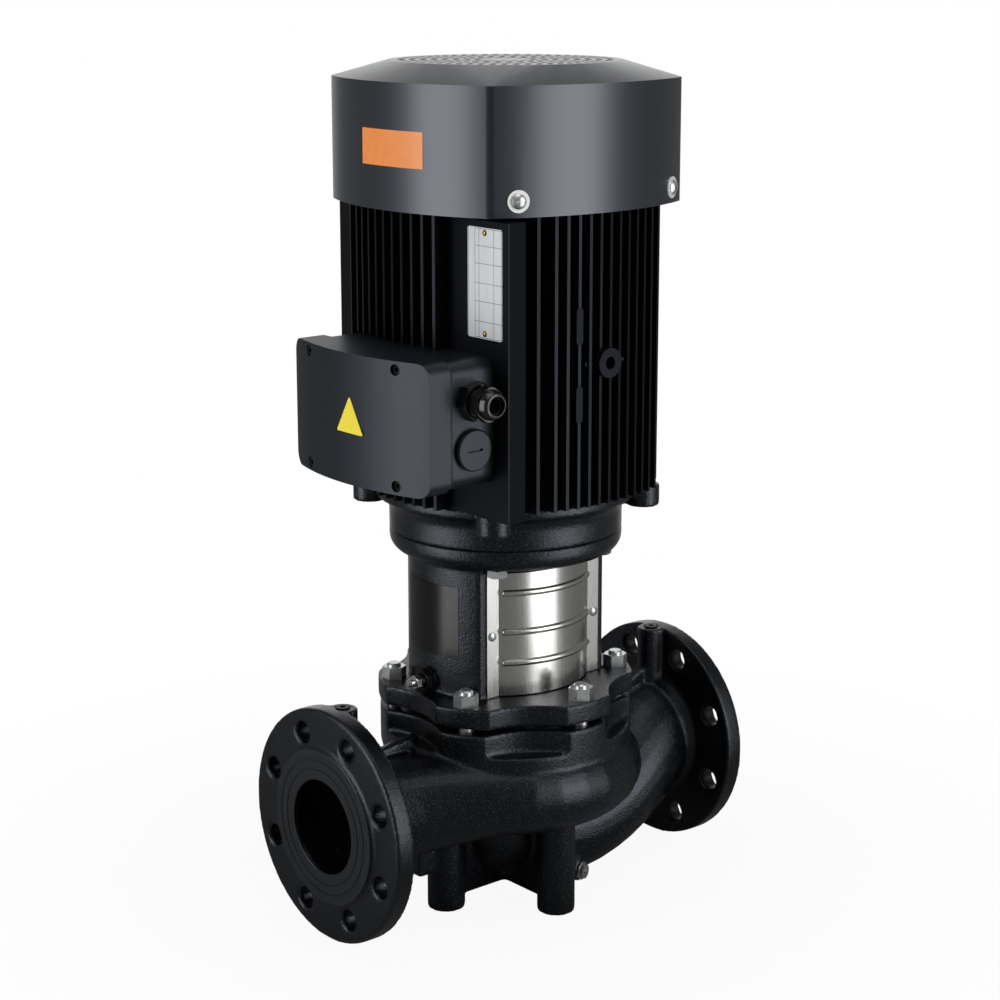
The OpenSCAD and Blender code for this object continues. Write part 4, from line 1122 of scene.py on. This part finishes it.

# A fine black line between the box and its lid is painted shade of the seam's gap,
# made of the CAD gasket, a little larger all round and 3.4 times as thick.
box_y, box_z = -17.2 * MM, 454.5 * MM
# Painted shade: a black rubber strip where the seam's gap is dark.
seam_shade_piece = joined_copy("lid_gasket", "seam_shade_strip", rubber)
pick(seam_shade_piece)
bpy.ops.object.mode_set(mode="EDIT")
bpy.ops.mesh.select_all(action="SELECT")
bpy.ops.transform.resize(
    value=(1, 1.0035, 1.0058), center_override=(-145 * MM, box_y, box_z)
)
bpy.ops.transform.resize(value=(3.4, 1, 1), center_override=(-146 * MM, box_y, box_z))
bpy.ops.object.mode_set(mode="OBJECT")
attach(seam_shade_piece, "pump_frame")
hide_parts("lid_gasket")


def soft_box(name, place, towards, wide, high, power):
    """An area lamp that faces a point and isn't seen by the camera."""
    lamp = bpy.data.lights.new(name, "AREA")
    lamp.shape = "RECTANGLE"
    lamp.size = wide
    lamp.size_y = high
    lamp.energy = power
    holder = bpy.data.objects.new(name, lamp)
    holder.location = Vector(place)
    holder.rotation_euler = (
        (Vector(towards) - Vector(place)).to_track_quat("-Z", "Y").to_euler()
    )
    holder.visible_camera = False
    scene.collection.objects.link(holder)


def round_about(degrees, far, z):
    """A place this far from the shaft, in this direction and at this height."""
    angle = math.radians(degrees)
    return (far * math.cos(angle), far * math.sin(angle), z)


# Lights: two upright soft boxes beside the pump and one above, all facing its middle.
pump_middle = (0, 0, 0.4)
beside, upright = 1.9, 0.45
left = round_about(166, beside, upright)
right = round_about(289, beside, upright)
soft_box("soft_box_left", left, pump_middle, 1.05, 2.2, 27)
soft_box("soft_box_right", right, pump_middle, 1.15, 2.2, 30)
soft_box("soft_box_top", (-0.2, -0.3, 2.3), pump_middle, 1.6, 1.6, 13)

# Room: camera rays alone see plain white. All other rays, glossy and transmission
# ones too, see white only behind the pump and this dim strength elsewhere.
dim = 0.16
room = bpy.data.worlds.new("room")
scene.world = room
room.use_nodes = True
tree = room.node_tree
tree.nodes.clear()
towards = add(tree, "ShaderNodeTexCoord").outputs["Generated"]
# The white part is behind the pump, and what faces up sees more of it.
front = add(
    tree,
    "ShaderNodeVectorMath",
    {0: towards, 1: (away.x, away.y, -0.1)},
    operation="DOT_PRODUCT",
)
fade = add(
    tree,
    "ShaderNodeMapRange",
    {
        "Value": front.outputs["Value"],
        "From Min": -0.95,
        "From Max": -0.79,
        "To Min": 1.0,
        "To Max": dim,
    },
    interpolation_type="SMOOTHSTEP",
)
seen = add(tree, "ShaderNodeLightPath")
indoors = add(
    tree,
    "ShaderNodeBackground",
    {"Color": paint("#ffffff"), "Strength": fade.outputs["Result"]},
)
white = add(
    tree, "ShaderNodeBackground", {"Color": paint("#ffffff"), "Strength": 1.0}
)
shown = add(
    tree,
    "ShaderNodeMixShader",
    {
        0: seen.outputs["Is Camera Ray"],
        1: indoors.outputs["Background"],
        2: white.outputs["Background"],
    },
)
add(tree, "ShaderNodeOutputWorld", {"Surface": shown.outputs["Shader"]})

# Floor: a round sheet of white paper that keeps the pump's faint shadow. Camera rays
# see it mixed with plain white, and fully white away from the pump. Glossy rays see
# a darker grey instead, and all other rays the paper itself.
floor_height = cad_box[0][2] - 0.0002
floor_radius = 0.8
floor_paper, tree, place = blank("paper_white_matt")
mirrored = add(tree, "ShaderNodeLightPath")
tone = add(
    tree,
    "ShaderNodeMix",
    {
        "Factor": mirrored.outputs["Is Glossy Ray"],
        "A": paint("#f2f2f2"),
        "B": paint("#8c8c8c"),
    },
    data_type="RGBA",
)
matt = add(
    tree,
    "ShaderNodeBsdfDiffuse",
    {"Color": tone.outputs["Result"]},
)
lit = add(
    tree, "ShaderNodeEmission", {"Color": paint("#ffffff"), "Strength": 1.0}
)
seen = add(tree, "ShaderNodeLightPath")
out = add(
    tree,
    "ShaderNodeVectorMath",
    {0: place, 1: (0, 0, floor_height)},
    operation="DISTANCE",
)
lifted = add(
    tree,
    "ShaderNodeMapRange",
    {
        "Value": out.outputs["Value"],
        "From Min": 0.25,
        "From Max": 0.7,
        "To Min": 0.93,
        "To Max": 1.0,
    },
)
part_lit = add(
    tree,
    "ShaderNodeMath",
    {0: seen.outputs["Is Camera Ray"], 1: lifted.outputs["Result"]},
    operation="MULTIPLY",
)
both = add(
    tree,
    "ShaderNodeMixShader",
    {
        0: part_lit.outputs["Value"],
        1: matt.outputs["BSDF"],
        2: lit.outputs["Emission"],
    },
)
add(tree, "ShaderNodeOutputMaterial", {"Surface": both.outputs["Shader"]})
bpy.ops.object.select_all(action="DESELECT")
bpy.ops.mesh.primitive_circle_add(
    vertices=96,
    radius=floor_radius,
    fill_type="NGON",
    location=(0, 0, floor_height),
)
floor = bpy.context.object
floor.name = "floor"
bpy.ops.object.transform_apply(location=True, rotation=True, scale=True)
floor.data.materials.append(floor_paper)
